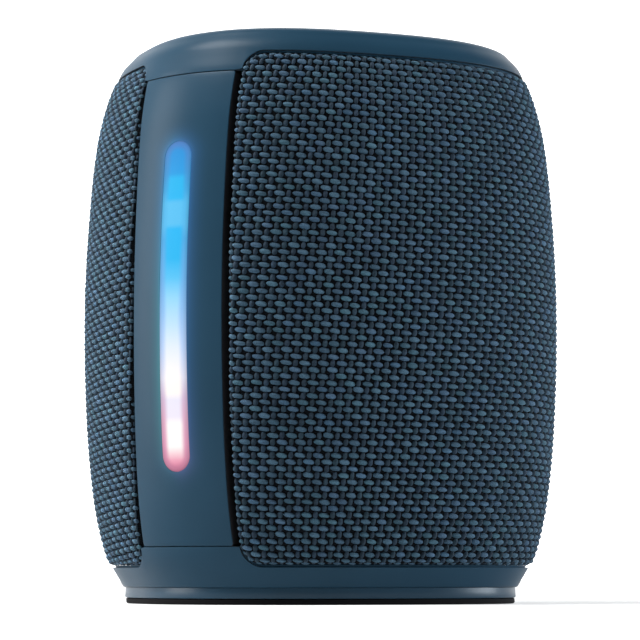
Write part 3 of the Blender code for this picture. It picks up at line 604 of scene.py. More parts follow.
def strip_coordinates(g, bottom):
    """Distance across the strip, share of its height and distance from its edge, from the UVs."""
    parts = g.node("ShaderNodeSeparateXYZ", {"Vector": g.node("ShaderNodeUVMap",
                                                              uv_map="strip").outputs[0]})
    across = g.math("MULTIPLY", g.math("SUBTRACT", parts.outputs[0], 0.5), 100.0)
    height = g.math("MULTIPLY", parts.outputs[1], 200.0)
    share = g.math("DIVIDE", g.math("SUBTRACT", height, bottom), STRIP_TOP - bottom)
    middle = 0.5 * (STRIP_TOP + bottom)
    reach = 0.5 * (STRIP_TOP - bottom) - 3.1
    beyond = g.math("MAXIMUM", g.math("SUBTRACT", g.math("ABSOLUTE", g.math(
        "SUBTRACT", height, middle)), reach), 0.0)
    away = g.math("SQRT", g.math("ADD", g.math("MULTIPLY", across, across),
                                 g.math("MULTIPLY", beyond, beyond)))
    return across, share, away


def glowing_plastic(name, colour, roughness, bottom):
    """Column plastic lit from behind round its strip."""
    g = Graph(name)
    across, share, away = strip_coordinates(g, bottom)
    drift = g.noise(60.0, 2.0)
    fine = g.noise(5200.0, 2.0)
    shade = g.mix(drift, scaled(colour, 0.88), scaled(colour, 1.12))
    side = g.node("ShaderNodeMapRange", {"Value": across, "From Min": -1.5, "From Max": 1.5})
    halo = g.mix(side.outputs[0], g.ramp(share, HALO_LEFT), g.ramp(share, HALO_RIGHT))
    beyond = g.math("MAXIMUM", g.math("SUBTRACT", away, 3.0), 0.0)
    fall = g.math("EXPONENT", g.math("MULTIPLY", beyond, -0.85))
    near = g.step(beyond, 7.0, 2.0)
    strength = g.math("MULTIPLY", g.math("MULTIPLY", fall, near), 0.75)
    return g.principled(Base_Color=shade, Emission_Color=halo, Emission_Strength=strength,
                        Roughness=g.spread(fine, roughness - 0.04, roughness + 0.04),
                        Specular_IOR_Level=0.08, Normal=g.bump(fine, 0.2, 0.00003))


def diffuser(name, bottom):
    """Lit diffuser: a core and a rim whose colours change along the strip."""
    g = Graph(name)
    _, share, away = strip_coordinates(g, bottom)
    wobble = g.math("MULTIPLY", g.math("SUBTRACT", g.noise(90.0, 1.0), 0.5), 0.6)
    edge = g.step(g.math("ADD", away, wobble), 1.2, 2.6)
    light = g.mix(edge, g.ramp(share, CORE), g.ramp(share, EDGE_GLOW))
    fade = g.node("ShaderNodeMapRange", {"Value": away, "From Min": 3.15, "From Max": 2.5,
                                         "To Min": 0.72, "To Max": 1.0})
    return g.principled(Base_Color=g.mix(0.92, light, (0.02, 0.03, 0.04)), Emission_Color=light,
                        Emission_Strength=g.math("MULTIPLY", fade.outputs[0], 0.93),
                        Roughness=g.spread(g.noise(3000.0), 0.42, 0.5),
                        Specular_IOR_Level=0.04)


def yarn(name, dark, light, twist):
    """Twisted yarn: each float has its own shade, with fibres running round it and painted shade in the
    grooves between them.
    """
    g = Graph(name)
    uv = g.node("ShaderNodeUVMap", uv_map="weave").outputs[0]
    cell = g.node("ShaderNodeVectorMath", {0: uv}, operation="FLOOR").outputs[0]
    tint = g.node("ShaderNodeTexWhiteNoise", {"Vector": cell}, noise_dimensions="2D")
    wide = g.noise(260.0, 2.0)
    share = g.math("ADD", g.math("MULTIPLY", tint.outputs["Value"], 0.45),
                   g.math("MULTIPLY", wide, 0.4))
    shade = g.mix(share, dark, light)
    hue = g.ramp(g.node("ShaderNodeSeparateColor", {"Color": tint.outputs["Color"]}).outputs[1],
                 ((0.0, (0.88, 1.06, 0.98)), (0.35, (1.0, 1.0, 1.0)), (0.65, (1.0, 1.0, 1.02)),
                  (0.85, (1.05, 0.98, 1.08)), (1.0, (0.88, 1.0, 1.12))))
    shade = g.mix(1.0, shade, hue, "MULTIPLY")
    lines = g.wave(1900.0, 3.0, twist, {"Detail": 2.0, "Detail Scale": 2.0})
    fibre = g.noise(5200.0, 3.0)
    relief = g.math("ADD", lines, g.math("MULTIPLY", fibre, 0.8))
    # Painted shade: where the twist lines and fibres sit low, the colour falls to a fifth of the dark tone,
    # as if shaded in the grooves.
    shade = g.mix(g.step(relief, 0.5, 1.3), scaled(dark, 0.22), shade)
    return g.principled(Base_Color=shade, Roughness=g.spread(fibre, 0.62, 0.85),
                        Specular_IOR_Level=0.25, Sheen_Weight=0.06, Sheen_Roughness=0.4,
                        Sheen_Tint=(0.5, 0.7, 0.85), Normal=g.bump(relief, 0.7, 0.00006))


# --- weave


def thread_spots(edges):
    """Function from a warp number to its panel position, evenly spaced on the real surface."""
    z = 0.5 * (GRILLE_BOTTOM + GRILLE_TOP)
    start, end = edges(profile(z))
    share = np.linspace(0.0, 1.0, 801)
    points = surface(start + (end - start) * share, z)
    steps = np.linalg.norm(np.diff(points, axis=0), axis=1)
    arc = np.concatenate(((0.0,), np.cumsum(steps)))

    def spot(warp):
        inside = np.clip(warp, 0.0, WARPS)
        beyond = (warp - inside) * GRILLE_LENGTH / WARPS
        return np.interp(inside / WARPS, arc / arc[-1], share * GRILLE_LENGTH) + beyond
    return spot


def fold(position, z):
    """Depth inside the grille's rounded outline and the direction out of it."""
    half_x, half_z = 0.5 * GRILLE_LENGTH, 0.5 * (GRILLE_TOP - GRILLE_BOTTOM)
    x = position - half_x
    y = z - 0.5 * (GRILLE_TOP + GRILLE_BOTTOM)
    corner_x = np.abs(x) - (half_x - GRILLE_CORNER)
    corner_y = np.abs(y) - (half_z - GRILLE_CORNER)
    rounded = (corner_x > 0.0) & (corner_y > 0.0)
    reach = np.hypot(corner_x, corner_y)
    depth = np.where(rounded, GRILLE_CORNER - reach, GRILLE_CORNER - np.maximum(corner_x, corner_y))
    safe = np.where(reach > 1e-6, reach, 1.0)
    sideways = corner_x > corner_y
    out_x = np.where(rounded, corner_x / safe, sideways * 1.0) * np.sign(x)
    out_y = np.where(rounded, corner_y / safe, ~sideways * 1.0) * np.sign(y)
    return depth, out_x, out_y


def place_on_grille(edges, position, z, lift):
    """Points of the cloth at a height above it, following its folded rim."""
    radius = 0.9
    depth, out_x, out_y = fold(position, z)
    turn = np.clip((radius - depth) / radius, 0.0, 0.5 * math.pi)
    flat = radius - radius * np.sin(turn)
    down = radius * (1.0 - np.cos(turn))
    down = down + np.maximum(radius - depth - 0.5 * math.pi * radius, 0.0)
    moved = np.where(depth < radius, depth - flat, 0.0) + lift * np.sin(turn)
    position = position + out_x * moved
    z = z + out_y * moved
    start, end = edges(profile(z))
    angle = start + (end - start) * position / GRILLE_LENGTH
    return surface(angle, z, down - lift * np.cos(turn))


def float_patch(stations, ribs):
    """Unit yarn float: length and width in -1..1 and its arch in 0..1, with its quads."""
    length = np.sin(np.linspace(-0.5, 0.5, stations + 1) * math.pi)
    width = (1.0 - np.abs(length) ** 3.2) ** 0.5
    width[0] = width[-1] = 0.16
    turn = np.linspace(0.0, math.pi, ribs + 1)
    across = -np.cos(turn)[None, :] * width[:, None]
    arch = np.sin(turn)[None, :] * (1.0 - 0.62 * np.abs(length) ** 2.2)[:, None]
    along = np.repeat(length[:, None], ribs + 1, 1)
    quads = []
    for station in range(stations):
        for rib in range(ribs):
            first = station * (ribs + 1) + rib
            quads.append((first, first + 1, first + ribs + 2, first + ribs + 1))
    return along.ravel(), across.ravel(), arch.ravel(), np.array(quads)


def build_threads(name, edges, tilt, upright, seed, material):
    """All floats of one set of threads: the upright warps or the crosswise wefts."""
    rng = np.random.default_rng(seed)
    spot = thread_spots(edges)
    pitch_z = (GRILLE_TOP - GRILLE_BOTTOM) / WEFTS
    columns, rows = np.meshgrid(np.arange(-6, WARPS + 6), np.arange(-8, WEFTS + 8), indexing="ij")
    parity = 1 if upright else 0
    chosen = (columns + rows) % 2 == parity
    column, row = columns[chosen].astype(float), rows[chosen].astype(float)
    z = GRILLE_BOTTOM + (row + 0.5) * pitch_z
    across = column + 0.5 + WEAVE_LEAN * (z - 58.0)
    z = z + tilt * (across - 0.5 * WARPS)
    kept = fold(spot(across), z)[0] > -1.2
    across, z, column, row = across[kept], z[kept], column[kept], row[kept]
    count = len(across)
    along, side, arch, quads = float_patch(5 if upright else 6, 4)
    wobble = rng.normal(0.0, 1.0, (4, count, 1))
    if upright:
        length = 0.56 + 0.015 * wobble[0]
        width = 0.285 * (1.0 + 0.05 * wobble[1])
        u = across[:, None] + side * width + 0.02 * wobble[2] + 0.04 * along
        v = along * length
        top = WARP_RISE + 0.02 * wobble[3]
    else:
        length = 0.60 + 0.012 * wobble[0]
        width = 0.40 * (1.0 + 0.05 * wobble[1])
        u = across[:, None] + along * length
        v = side * width - 0.10 * along + 0.03 * wobble[2]
        top = WEFT_RISE + 0.02 * wobble[3]
    height = z[:, None] + v * pitch_z + tilt * (u - across[:, None])
    lift = -0.22 + arch * (top + 0.22)
    points = place_on_grille(edges, spot(u), height, lift - 0.30)
    size = len(along)
    faces = (quads[None, :, :] + (np.arange(count) * size)[:, None, None]).reshape(-1, 4)
    mesh = bpy.data.meshes.new(name)
    mesh.from_pydata(placed(points.reshape(-1, 3)), [], faces.tolist())
    layer = mesh.uv_layers.new(name="weave")
    uv = np.stack((np.repeat(column + 10.0, size) + np.tile(0.5 + 0.45 * along, count),
                   np.repeat(row + 10.0, size) + np.tile(0.5 + 0.45 * side, count)), -1)
    loops = np.empty(len(mesh.loops), np.int32)
    mesh.loops.foreach_get("vertex_index", loops)
    layer.data.foreach_set("uv", uv[loops].astype(np.float32).ravel())
    mesh.shade_smooth()
    mesh.materials.append(material)
    obj = bpy.data.objects.new(name, mesh)
    bpy.context.scene.collection.objects.link(obj)
    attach(obj, CABINET)
    return obj


def build_grille(side, turn, materials):
    """Woven cover: a dark ground folded over its carrier, with warps and wefts over it."""
    edges = grille_edges(turn)
    panel = (edges, GRILLE_BOTTOM, GRILLE_TOP, GRILLE_CORNER, GRILLE_LENGTH, 60, 40, 8)
    layers = ((0.75, 0.55), (0.45, 0.62), (0.20, 0.90), (0.12, 1.30), (0.10, 3.4),
              (CLOTH, 3.4), (CLOTH, CLOTH + 0.25))
    vertices, faces = panel_mesh(panel, layers)
    ground = add_object(f"grille_ground_{side}", vertices, faces, materials["ground"],
                        replaces=(f"grille_cloth_{side}",))
    tilt = ROW_TILT[side]
    warps = build_threads(f"grille_warps_{side}", edges, tilt, True, 11 + len(side),
                          materials["warp"])
    wefts = build_threads(f"grille_wefts_{side}", edges, tilt, False, 23 + len(side),
                          materials["weft"])


# --- shells


def ring_stations(column_steps=24, middle=72, corner_steps=10):
    """Places round the cabinet: panel, share of its length and corner drop."""
    found = []
    for turn in TURNS.values():
        found += [(turned_edges(turn), step / column_steps, None) for step in range(column_steps + 1)]
        position, drop = stations(GRILLE_LENGTH, GRILLE_CORNER, 0.0, middle, corner_steps)
        found += [(grille_edges(turn), p / GRILLE_LENGTH, d) for p, d in zip(position, drop)]
    return found


def ring_row(places, height, inset):
    """Ring of points at a height given for each place."""
    row = []
    for edges, share, drop in places:
        z = height(drop)
        start, end = edges(max(float(profile(z)), LEAST_SHARE))
        row.append(surface(start + (end - start) * share, z, inset))
    return np.array(row)


def cap_line(gap, seam):
    """Line along the cap's foot, at a gap from the grilles and a seam from the columns."""
    return lambda drop: max(CAP_SEAM + seam, -math.inf if drop is None else GRILLE_TOP + gap - drop)


def base_line(gap, seam):
    """Line along the base's top, at a gap from the grilles and a seam from the columns."""
    return lambda drop: min(BASE_SEAM - seam, math.inf if drop is None else GRILLE_BOTTOM - gap + drop)


def rim_rows(places, line, away):
    """Rows from a shell's inner lip over its softened rim; away is 1 upwards and -1 downwards."""
    edge = line(CLOTH_GAP, SEAM)
    rows = [ring_row(places, line(LIP_GAP, LIP_SEAM), FACE + 0.75), ring_row(places, edge, FACE + 0.7)]
    for rise, inset in ((0.0, 0.2), (0.03, 0.09), (0.09, 0.02), (0.2, 0.0)):
        rows.append(ring_row(places, lambda drop, rise=rise: edge(drop) + away * rise, FACE + inset))
    return rows


def between_rows(places, edge, end, shares):
    """Rows spaced between an edge and a fixed height."""
    return [ring_row(places, lambda drop, share=share: edge(drop) + (end - edge(drop)) * share, FACE)
            for share in shares]


def level_rows(places, heights, inset=FACE):
    """Rows at fixed heights."""
    return [ring_row(places, lambda drop, z=z: z, inset) for z in heights]


def build_cap(materials):
    """Cap with a softened lower edge and the chamfered opening for its panel."""
    places = ring_stations()
    outer = rim_rows(places, cap_line, 1.0)
    outer += between_rows(places, cap_line(CLOTH_GAP, SEAM), CAP_SHOULDER, (0.3, 0.5, 0.75))
    outer += level_rows(places, (CAP_SHOULDER, 111.1, 111.8, 112.4, 113.0, 113.5, 114.0, 114.4, 114.8,
                                 115.1, 115.4, 115.7, 115.95, 116.2, 116.4, 116.6, 116.75, 116.88,
                                 116.96, HEIGHT))
    inner = [ring_row(places, cap_line(LIP_GAP, LIP_SEAM), FACE + CAP_WALL)]
    inner += level_rows(places, (CAP_SHOULDER, 112.6, 114.0, 115.3), FACE + CAP_WALL)
    inner[-1][:, 2] = CAP_CEILING
    vertices, faces = loft_mesh(outer[::-1] + inner)
    opening = loft_mesh([rounded_outline(width, depth, radius, z) for width, depth, radius, z in (
        (56.6, 28.6, 6.3, 110.0), (56.6, 28.6, 6.3, 116.2), (56.8, 28.8, 6.4, 116.4),
        (57.5, 29.5, 6.7, 116.75), (58.6, 30.6, 7.2, 119.0))])
    mesh = boolean_mesh("cap", plain_mesh("cap_shell", vertices, faces),
                        [plain_mesh("cap_opening", *opening)])
    cap = finish_object("cap_moulding", mesh, materials["navy"], replaces=("top_cap",))
    shade_grooves(cap, materials["plastic"])


def build_base(materials):
    """Base skirt with softened edges, its floor and the screw wells."""
    places = ring_stations()
    outer = rim_rows(places, base_line, -1.0)
    outer += between_rows(places, base_line(CLOTH_GAP, SEAM), SKIRT, (0.45, 0.6, 0.8))
    outer += level_rows(places, (SKIRT, 5.2, 4.6, 4.0, 3.4, 3.0, 2.75))
    outer += level_rows(places, (2.52,), FACE + 0.06) + level_rows(places, (BASE_BOTTOM,), FACE + 0.3)
    inner = [ring_row(places, base_line(LIP_GAP, LIP_SEAM), FACE + WALL)]
    inner += level_rows(places, (5.8,), FACE + WALL)
    vertices, faces = loft_mesh(outer[::-1] + inner)
    wells = []
    section = ((2.95, 0.0), (2.95, 3.5), (2.8, 3.65), (2.8, 4.7), (1.5, 4.7), (1.5, 8.0))
    for x in (-SCREW_REACH[0], SCREW_REACH[0]):
        for y in (-SCREW_REACH[1], SCREW_REACH[1]):
            wells.append(plain_mesh("well", *turned_mesh(section, (x, y), 40)))
    cup = boolean_mesh("base", plain_mesh("base_cup", vertices, faces), wells)
    rim = level_rows(places, (5.0, 8.6), LEDGE) + level_rows(places, (8.6, 5.0), LEDGE + 1.0)
    mesh = boolean_mesh("base_and_ledge", cup, [plain_mesh("ledge", *tube_mesh(rim))], "UNION")
    base = finish_object("base_moulding", mesh, materials["navy"], replaces=("base_shell",))
    shade_grooves(base, materials["plastic"])


def plan_solid(name, rows):
    """Closed mesh through cabinet-shaped outlines, from (share, height) rows."""
    return plain_mesh(name, *loft_mesh([plan_outline(share, z) for share, z in rows]))


def build_foot(materials):
    """Foot ring and the rubber pad under it, with three grooves below; the pad's near-black tone and its
    width out to the ring are a painted contact shadow.
    """
    ring = plan_solid("foot_ring_solid", ((0.8145, 0.2), (0.820, 0.3), (0.822, 0.55), (0.8205, 1.6),
                                          (0.8195, 2.36)))
    bore = plan_solid("foot_ring_bore", ((0.62, -1.0), (0.62, 5.0)))
    finish_object("foot_band", boolean_mesh("foot", ring, [bore]), materials["foot"],
                  replaces=("foot_ring",))
    # Rubber pad, near-black and nearly flush with the ring: its tone and width paint the contact shadow
    # under the foot
    pad = plan_solid("pad_solid", ((0.804, FLOOR), (0.813, -0.92), (0.817, -0.65), (0.817, 0.05),
                                   (0.814, 0.14)))
    grooves = []
    for share in (0.70, 0.58, 0.46):
        outer = plan_solid("groove", ((share, -2.0), (share, -0.72)))
        core = plan_solid("core", ((share - 0.03, -3.0), (share - 0.03, 1.0)))
        grooves.append(boolean_mesh("groove_ring", outer, [core]))
    finish_object("foot_rubber", boolean_mesh("pad", pad, grooves), materials["pad"],
                  replaces=("foot_pad",))


def shade_grooves(obj, groove_shade):
    """Paint shade on the walls that face a groove or the inside: they take the dark material as painted
    shade.
    """
    obj.data.materials.append(groove_shade)
    for polygon in obj.data.polygons:
        centre = polygon.center / MM
        angle = math.degrees(math.atan2(centre.y, centre.x))
        facing = outward(np.array(angle), np.array(centre.z + FLOOR))
        if float(np.dot(facing, polygon.normal)) < GROOVE_FACING and centre.z > GROOVE_LOWEST:
            polygon.material_index = 1


def strip_map(mesh, turn):
    """Write each corner's place on the light strip: across it and up it."""
    count = len(mesh.vertices)
    points = np.empty(count * 3)
    mesh.vertices.foreach_get("co", points)
    points = points.reshape(-1, 3) / MM + (0.0, 0.0, FLOOR)
    angle = np.degrees(np.arctan2(points[:, 1], points[:, 0]))
    across = np.radians(angle - STRIP_CENTRE - turn) * np.hypot(points[:, 0], points[:, 1])
    uv = np.stack((0.5 + across / 100.0, points[:, 2] / 200.0), -1)
    loops = np.empty(len(mesh.loops), np.int32)
    mesh.loops.foreach_get("vertex_index", loops)
    mesh.uv_layers.new(name="strip").data.foreach_set("uv", uv[loops].astype(np.float32).ravel())


def build_column(side, turn, materials):
    """Light column with its slot, the lens in it and, at the rear, the port opening."""
    low = STRIP_BOTTOMS[side]
    panel = (turned_edges(turn), BASE_SEAM + SEAM, CAP_SEAM - SEAM, 0.6, 24.0, 48, 110, 4)
    layers = ((0.18, FACE), (0.09, FACE + 0.015), (0.03, FACE + 0.05), (0.0, FACE + 0.15), (0.0, RIM),
              (1.4, RIM), (1.4, FACE + WALL))
    vertices, faces = panel_mesh(panel, layers)
    slot = (centred_edges(STRIP_SPAN, turn), low, STRIP_TOP, 3.3, 6.6, 2, 60, 14)
    cutters = [plain_mesh("slot", *panel_mesh(slot, ((-0.06, -2.0), (-0.05, FACE), (0.0, FACE + 0.06),
                                                     (0.0, 4.5))))]
    if side == "rear":
        port = (centred_edges(PORT_SPAN, TURNS["rear"]), PORT_BOTTOM, PORT_TOP, 2.4, 9.6, 8, 16, 8)
        cutters.append(plain_mesh("port", *panel_mesh(port, ((-0.16, -2.0), (-0.12, FACE),
                                                            (0.0, FACE + 0.14), (0.0, 4.5)))))
    mesh = boolean_mesh(f"column_{side}", plain_mesh("column", vertices, faces), cutters)
    column = finish_object(f"column_{side}", mesh, materials[f"column_{side}"],
                           replaces=(f"led_column_{side}",))
    strip_map(mesh, turn)
    shade_grooves(column, materials["plastic"])
    lens = (centred_edges(STRIP_SPAN, turn), low, STRIP_TOP, 3.3, 6.6, 8, 120, 14)
    vertices, faces = panel_mesh(lens, ((0.16, FACE - 0.02), (0.06, FACE + 0.01), (0.03, FACE + 0.06),
                                        (0.03, FACE + 2.4)))
    mesh = plain_mesh("lens", vertices, faces)
    finish_object(f"lens_{side}", mesh, materials[f"lens_{side}"],
                  replaces=(f"led_lens_{side}",))
    strip_map(mesh, turn)


# --- controls and port


def button_section(radius):
    """Outline of a push button with a softly dished top."""
    return ((0.05, 116.78), (0.5 * radius, 116.79), (0.78 * radius, 116.84), (radius - 0.55, 116.9),
            (radius - 0.28, 116.86), (radius - 0.1, 116.72), (radius, 116.5), (radius, 114.5),
            (radius + 0.8, 114.5), (radius + 0.8, 113.7), (1.5, 113.7), (1.5, 111.0), (0.05, 111.0))


def bar(low, high, bottom, top, bevel=0.12):
    """Loops of a small raised bar."""
    loops = []
    for inset, z in ((0.0, bottom), (0.0, top - bevel), (bevel * 0.5, top - bevel * 0.3), (bevel, top)):
        loops.append([(low[0] + inset, low[1] + inset, z), (high[0] - inset, low[1] + inset, z),
                      (high[0] - inset, high[1] - inset, z), (low[0] + inset, high[1] - inset, z)])
    return loops


def polygon_loops(points, bottom, top, bevel=0.12):
    """Loops of a small raised polygon that narrows at its top."""
    centre = np.mean(points, axis=0)
    loops = []
    for share, z in ((1.0, bottom), (1.0, top - bevel), (0.96, top - bevel * 0.3), (0.9, top)):
        loops.append([(*(centre + (np.array(point) - centre) * share), z) for point in points])
    return loops


def arc_points(centre, radius, width, start, end, steps=16):
    """Outline of an arc-shaped band in a plane."""
    turns = np.radians(np.linspace(start, end, steps + 1))
    points = []
    for reach, order in ((radius + 0.5 * width, turns), (radius - 0.5 * width, turns[::-1])):
        points += [(centre[0] + reach * math.cos(turn), centre[1] + reach * math.sin(turn))
                   for turn in order]
    return points


def symbol_meshes(symbol, x, y, bottom, top):
    """Raised shapes of one button's symbol."""
    shapes = [loft_mesh(bar((x + left, y + near), (x + right, y + far), bottom, top))
              for left, near, right, far in BARS.get(symbol, ())]
    if symbol == "play":
        shapes.append(loft_mesh(polygon_loops([(x - 1.1, y - 1.7), (x + 1.9, y), (x - 1.1, y + 1.7)],
                                              bottom, top)))
    flats = []
    if symbol == "power":
        flats.append(arc_points((x, y), 1.35, 0.36, 125.0, 415.0, 32))
        flats.append([(x - 0.18, y + 0.2), (x + 0.18, y + 0.2), (x + 0.18, y + 1.75), (x - 0.18, y + 1.75)])
    if symbol == "waves":
        flats.append(arc_points((x, y - 1.1), 0.35, 0.7, -180.0, 180.0, 24)[:25])
        flats.append(arc_points((x, y - 1.1), 1.35, 0.36, 40.0, 140.0))
        flats.append(arc_points((x, y - 1.1), 2.25, 0.36, 40.0, 140.0))
    if symbol == "lamp":
        flats.append(arc_points((x, y), 0.75, 0.32, 0.0, 360.0, 40)[:41])
        for ray in range(8):
            turn = math.radians(45.0 * ray)
            along = np.array((math.cos(turn), math.sin(turn)))
            side = np.array((-along[1], along[0])) * 0.15
            near, far = np.array((x, y)) + along * 1.2, np.array((x, y)) + along * 1.95
            flats.append([near - side, far - side, far + side, near + side])
    for flat in flats:
        loops = [[(*point, bottom) for point in flat], [(*point, top) for point in flat]]
        shapes.append(loft_mesh(loops))
    return shapes


def joined(shapes):
    """One vertex and face list from several."""
    vertices, faces, start = [], [], 0
    for points, polygons in shapes:
        vertices.append(np.asarray(points, float))
        faces += [tuple(start + index for index in polygon) for polygon in polygons]
        start += len(points)
    return np.concatenate(vertices), faces


def build_controls(materials):
    """Control panel with the hole for the status light's lens, its buttons and their symbols."""
    rows = ((59.4, 31.4, 7.7, 113.0), (60.0, 32.0, 8.0, 113.3), (60.0, 32.0, 8.0, 114.4),
            (56.0, 28.0, 6.0, 114.4), (56.0, 28.0, 6.0, 115.9), (55.8, 27.8, 5.9, 116.08),
            (55.4, 27.4, 5.7, 116.17), (55.0, 27.0, 5.5, 116.2))
    block = plain_mesh("panel_block", *loft_mesh([rounded_outline(*row) for row in rows]))
    hollow = plain_mesh("panel_hollow", *loft_mesh([rounded_outline(53.0, 25.0, 4.5, 110.0),
                                                    rounded_outline(53.0, 25.0, 4.5, 114.8)]))
    cutters = [hollow]
    for name in BUTTONS:
        x, y, radius = button_place(name)
        section = ((radius + 0.25, 112.0), (radius + 0.25, 116.0), (radius + 0.3, 116.12),
                   (radius + 0.42, 116.25), (radius + 0.42, 118.0))
        cutters.append(plain_mesh("hole", *turned_mesh(section, (x, y))))
    cutters.append(plain_mesh("lamp_hole", *turned_mesh(((1.0, 112.0), (1.0, 118.0)), (8.0, 8.0), 32)))
    finish_object("panel_moulding", boolean_mesh("panel", block, cutters), materials["gloss"],
                  replaces=("control_panel",))
    for name, symbol in BUTTONS.items():
        x, y, radius = button_place(name)
        vertices, faces = turned_mesh(button_section(radius), (x, y))
        add_object(f"{name}_cap", vertices, faces, materials["rubber"], f"{name}_body", (name,))
        vertices, faces = joined(symbol_meshes(symbol, x, y, SYMBOL_FOOT, SYMBOL_TOP))
        add_object(f"{name}_symbol", vertices, faces, materials["symbol"], f"{name}_body")


def button_place(name):
    """Centre and radius of a button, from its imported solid."""
    low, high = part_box(name)
    middle = (low + high) * 0.5 / MM
    return round(middle.x, 1), round(middle.y, 1), round(0.5 * (high.x - low.x) / MM - 0.8, 1)


def build_port_door(materials):
    """Rubber port cover with softened edges."""
    panel = (centred_edges(PORT_SPAN, TURNS["rear"]), PORT_BOTTOM, PORT_TOP, 2.4, 9.6, 10, 24, 8)
    layers = ((0.75, FACE), (0.45, FACE + 0.06), (0.28, FACE + 0.24), (0.25, FACE + 0.5), (0.25, 2.4))
    body = plain_mesh("door_body", *panel_mesh(panel, layers))
    finish_object("port_cover", body, materials["rubber"], "port_door_body", ("port_door",))


# --- scene


def make_materials():
    """All finishes by name."""
    navy = (0.0125, 0.040, 0.068)
    return {
        "navy": moulded("navy_moulding", navy, 0.38, specular=0.08),
        "foot": moulded("foot_moulding", navy, 0.34, specular=0.2),
        "column_front": glowing_plastic("column_front_glow", navy, 0.36, STRIP_BOTTOMS["front"]),
        "column_rear": glowing_plastic("column_rear_glow", navy, 0.36, STRIP_BOTTOMS["rear"]),
        "lens_front": diffuser("lens_front_light", STRIP_BOTTOMS["front"]),
        "lens_rear": diffuser("lens_rear_light", STRIP_BOTTOMS["rear"]),
        "ground": ribbed("cloth_ground", (700.0, 1.0, "Z"),
                         ((0.0012, 0.0016, 0.0022), (0.004, 0.006, 0.009)), (1.0, 0.85),
                         (0.4, 0.0001), Specular_IOR_Level=0.1),
        "warp": yarn("warp_yarn", tone("182c3c"), tone("365266"), "Z"),
        "weft": yarn("weft_yarn", tone("2e4e64"), tone("6088a2"), "X"),
        # Black moulding of inner parts, also put on the shells' groove walls as painted shade
        "plastic": moulded("black_moulding_and_groove_shade", (0.018, 0.018, 0.02), 0.5),
        "gloss": moulded("gloss_moulding", tone("1c2834"), 0.16, 0.05),
        "rubber": granular("rubber_grain", (0.010, 0.010, 0.011), (0.022, 0.022, 0.024), 1800.0, 0.75,
                           0.3, 0.00005, 0.35),
        # Near-black pad rubber: real rubber, its darkness a painted contact shadow
        "pad": granular("pad_rubber_and_contact_shadow", (0.002, 0.002, 0.003), (0.005, 0.005, 0.006), 1800.0,
                        0.85, 0.3, 0.00005, 0.1),
        "symbol": moulded("symbol_ink", tone("b8c4cc"), 0.55, 0.1),
        "steel": metal("plated_steel", (0.56, 0.57, 0.6), 0.3),
        "ferrite": granular("ferrite_grain", (0.02, 0.02, 0.022), (0.06, 0.06, 0.065), 1400.0, 0.7, 0.5,
                            0.00008),
        "copper": ribbed("copper_winding", (1400.0, 0.4, "Y"),
                         ((0.35, 0.12, 0.04), (0.8, 0.36, 0.16)), (0.5, 0.25), (0.6, 0.00008),
                         Metallic=0.9),
        "paper": granular("cone_paper_fibre", (0.018, 0.018, 0.02), (0.05, 0.05, 0.054), 900.0, 0.85,
                          0.6, 0.0001),
        "spider": ribbed("spider_resin_cloth", (900.0, 1.5, "DIAGONAL"),
                         ((0.32, 0.2, 0.07), (0.6, 0.43, 0.18)), (0.95, 0.8), (0.5, 0.0001)),
        "foam": granular("foam_cells", (0.012, 0.012, 0.012), (0.05, 0.05, 0.05), 1600.0, 0.95, 0.8,
                         0.0002, 0.2),
        "board": circuit("solder_mask"),
        "cell": moulded("cell_sleeve", (0.03, 0.13, 0.34), 0.3, 0.08),
        "clear": clear_plastic("clear_light_pipe"),
    }


def clear_plastic(name):
    """Translucent light pipe."""
    g = Graph(name)
    cloud = g.noise(900.0, 2.0)
    return g.principled(Base_Color=g.mix(cloud, (0.62, 0.70, 0.74), (0.82, 0.88, 0.9)),
                        Roughness=g.spread(cloud, 0.12, 0.25), Transmission_Weight=0.6, IOR=1.49)


def finish_carried(frame, materials):
    """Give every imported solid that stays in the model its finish."""
    for key, starts in CARRIED.items():
        for name, node in frame["nodes"].items():
            if name.startswith(starts):
                node.data.materials.clear()
                node.data.materials.append(materials[key])


def aimed(place):
    """Rotation that turns a light or the camera towards the speaker's middle."""
    return (Vector((0.0, 0.0, VIEW_AIM)) - Vector(place)).to_track_quat("-Z", "Y").to_euler()


def add_area(name, place, size, power, colour=(1.0, 1.0, 1.0)):
    """Soft area light aimed at the speaker's middle."""
    data = bpy.data.lights.new(name, "AREA")
    data.shape = "RECTANGLE"
    data.size, data.size_y = size
    data.energy = power
    data.color = colour
    light = bpy.data.objects.new(name, data)
    light.location = place
    light.rotation_euler = aimed(light.location)
    bpy.context.scene.collection.objects.link(light)


def from_camera(right, ahead, up):
    """Point given by how far right of the view, beyond the speaker and up it is, in metres."""
    turn = math.radians(VIEW_TURN)
    return (right * math.cos(turn) + ahead * math.sin(turn),
            -right * math.sin(turn) + ahead * math.cos(turn), up)


def stage_plane(name, corners, material):
    """Large flat sheet of the studio."""
    mesh = bpy.data.meshes.new(name)
    mesh.from_pydata(corners, [], [(0, 1, 2, 3)])
    mesh.materials.append(material)
    obj = bpy.data.objects.new(name, mesh)
    bpy.context.scene.collection.objects.link(obj)


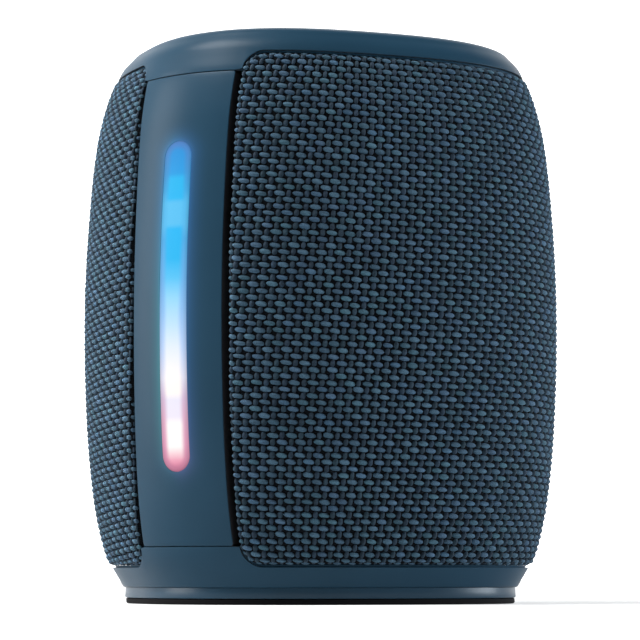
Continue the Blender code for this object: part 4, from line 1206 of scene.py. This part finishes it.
def build_studio():
    """Pale floor, white backdrop, soft lights and the camera."""
    floor = Graph("floor_white")
    shade = floor.spread(floor.noise(3.0, 2.0), 0.42, 0.46)
    floor.principled(Base_Color=floor.mix(shade, (0.0, 0.0, 0.0), (1.0, 1.0, 1.0)), Roughness=0.9,
                     Emission_Color=(1.0, 1.0, 1.0), Emission_Strength=0.5)
    stage_plane("floor", [(-6.0, -6.0, 0.0), (6.0, -6.0, 0.0), (6.0, 6.0, 0.0), (-6.0, 6.0, 0.0)],
                floor.material)
    wall = Graph("backdrop_white")
    wall.principled(Base_Color=(0.9, 0.9, 0.9), Roughness=0.9, Emission_Color=(1.0, 1.0, 1.0),
                    Emission_Strength=1.0)
    stage_plane("backdrop", [from_camera(-3.0, 2.0, 0.0), from_camera(3.0, 2.0, 0.0),
                             from_camera(3.0, 2.0, 3.0), from_camera(-3.0, 2.0, 3.0)], wall.material)
    world = bpy.data.worlds.new("studio")
    world.use_nodes = True
    world.node_tree.nodes["Background"].inputs[0].default_value = (0.9, 0.95, 1.0, 1.0)
    world.node_tree.nodes["Background"].inputs[1].default_value = 0.06
    scene = bpy.context.scene
    scene.world = world
    scene.view_settings.view_transform = "Standard"
    add_area("key", from_camera(-1.1, 0.0, 0.30), (0.55, 1.0), 15.0)
    add_area("fill", from_camera(-0.65, -0.25, 1.3), (0.8, 0.6), 36.0)
    add_area("rim", from_camera(1.0, 0.1, 0.15), (0.4, 0.6), 14.0, (0.85, 0.93, 1.0))
    data = bpy.data.cameras.new("camera")
    data.sensor_width = 36.0
    data.lens = LENS
    data.clip_start = 0.01
    camera = bpy.data.objects.new("camera", data)
    camera.location = from_camera(0.0, -VIEW_DISTANCE, VIEW_HEIGHT)
    camera.rotation_euler = aimed(camera.location)
    scene.collection.objects.link(camera)
    scene.camera = camera


def main():
    """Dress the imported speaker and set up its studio."""
    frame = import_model()
    materials = make_materials()
    finish_carried(frame, materials)
    build_cap(materials)
    build_base(materials)
    build_foot(materials)
    for side, turn in TURNS.items():
        build_column(side, turn, materials)
    for side, turn in TURNS.items():
        build_grille(side, turn, materials)
    build_controls(materials)
    build_port_door(materials)
    build_studio()


main()
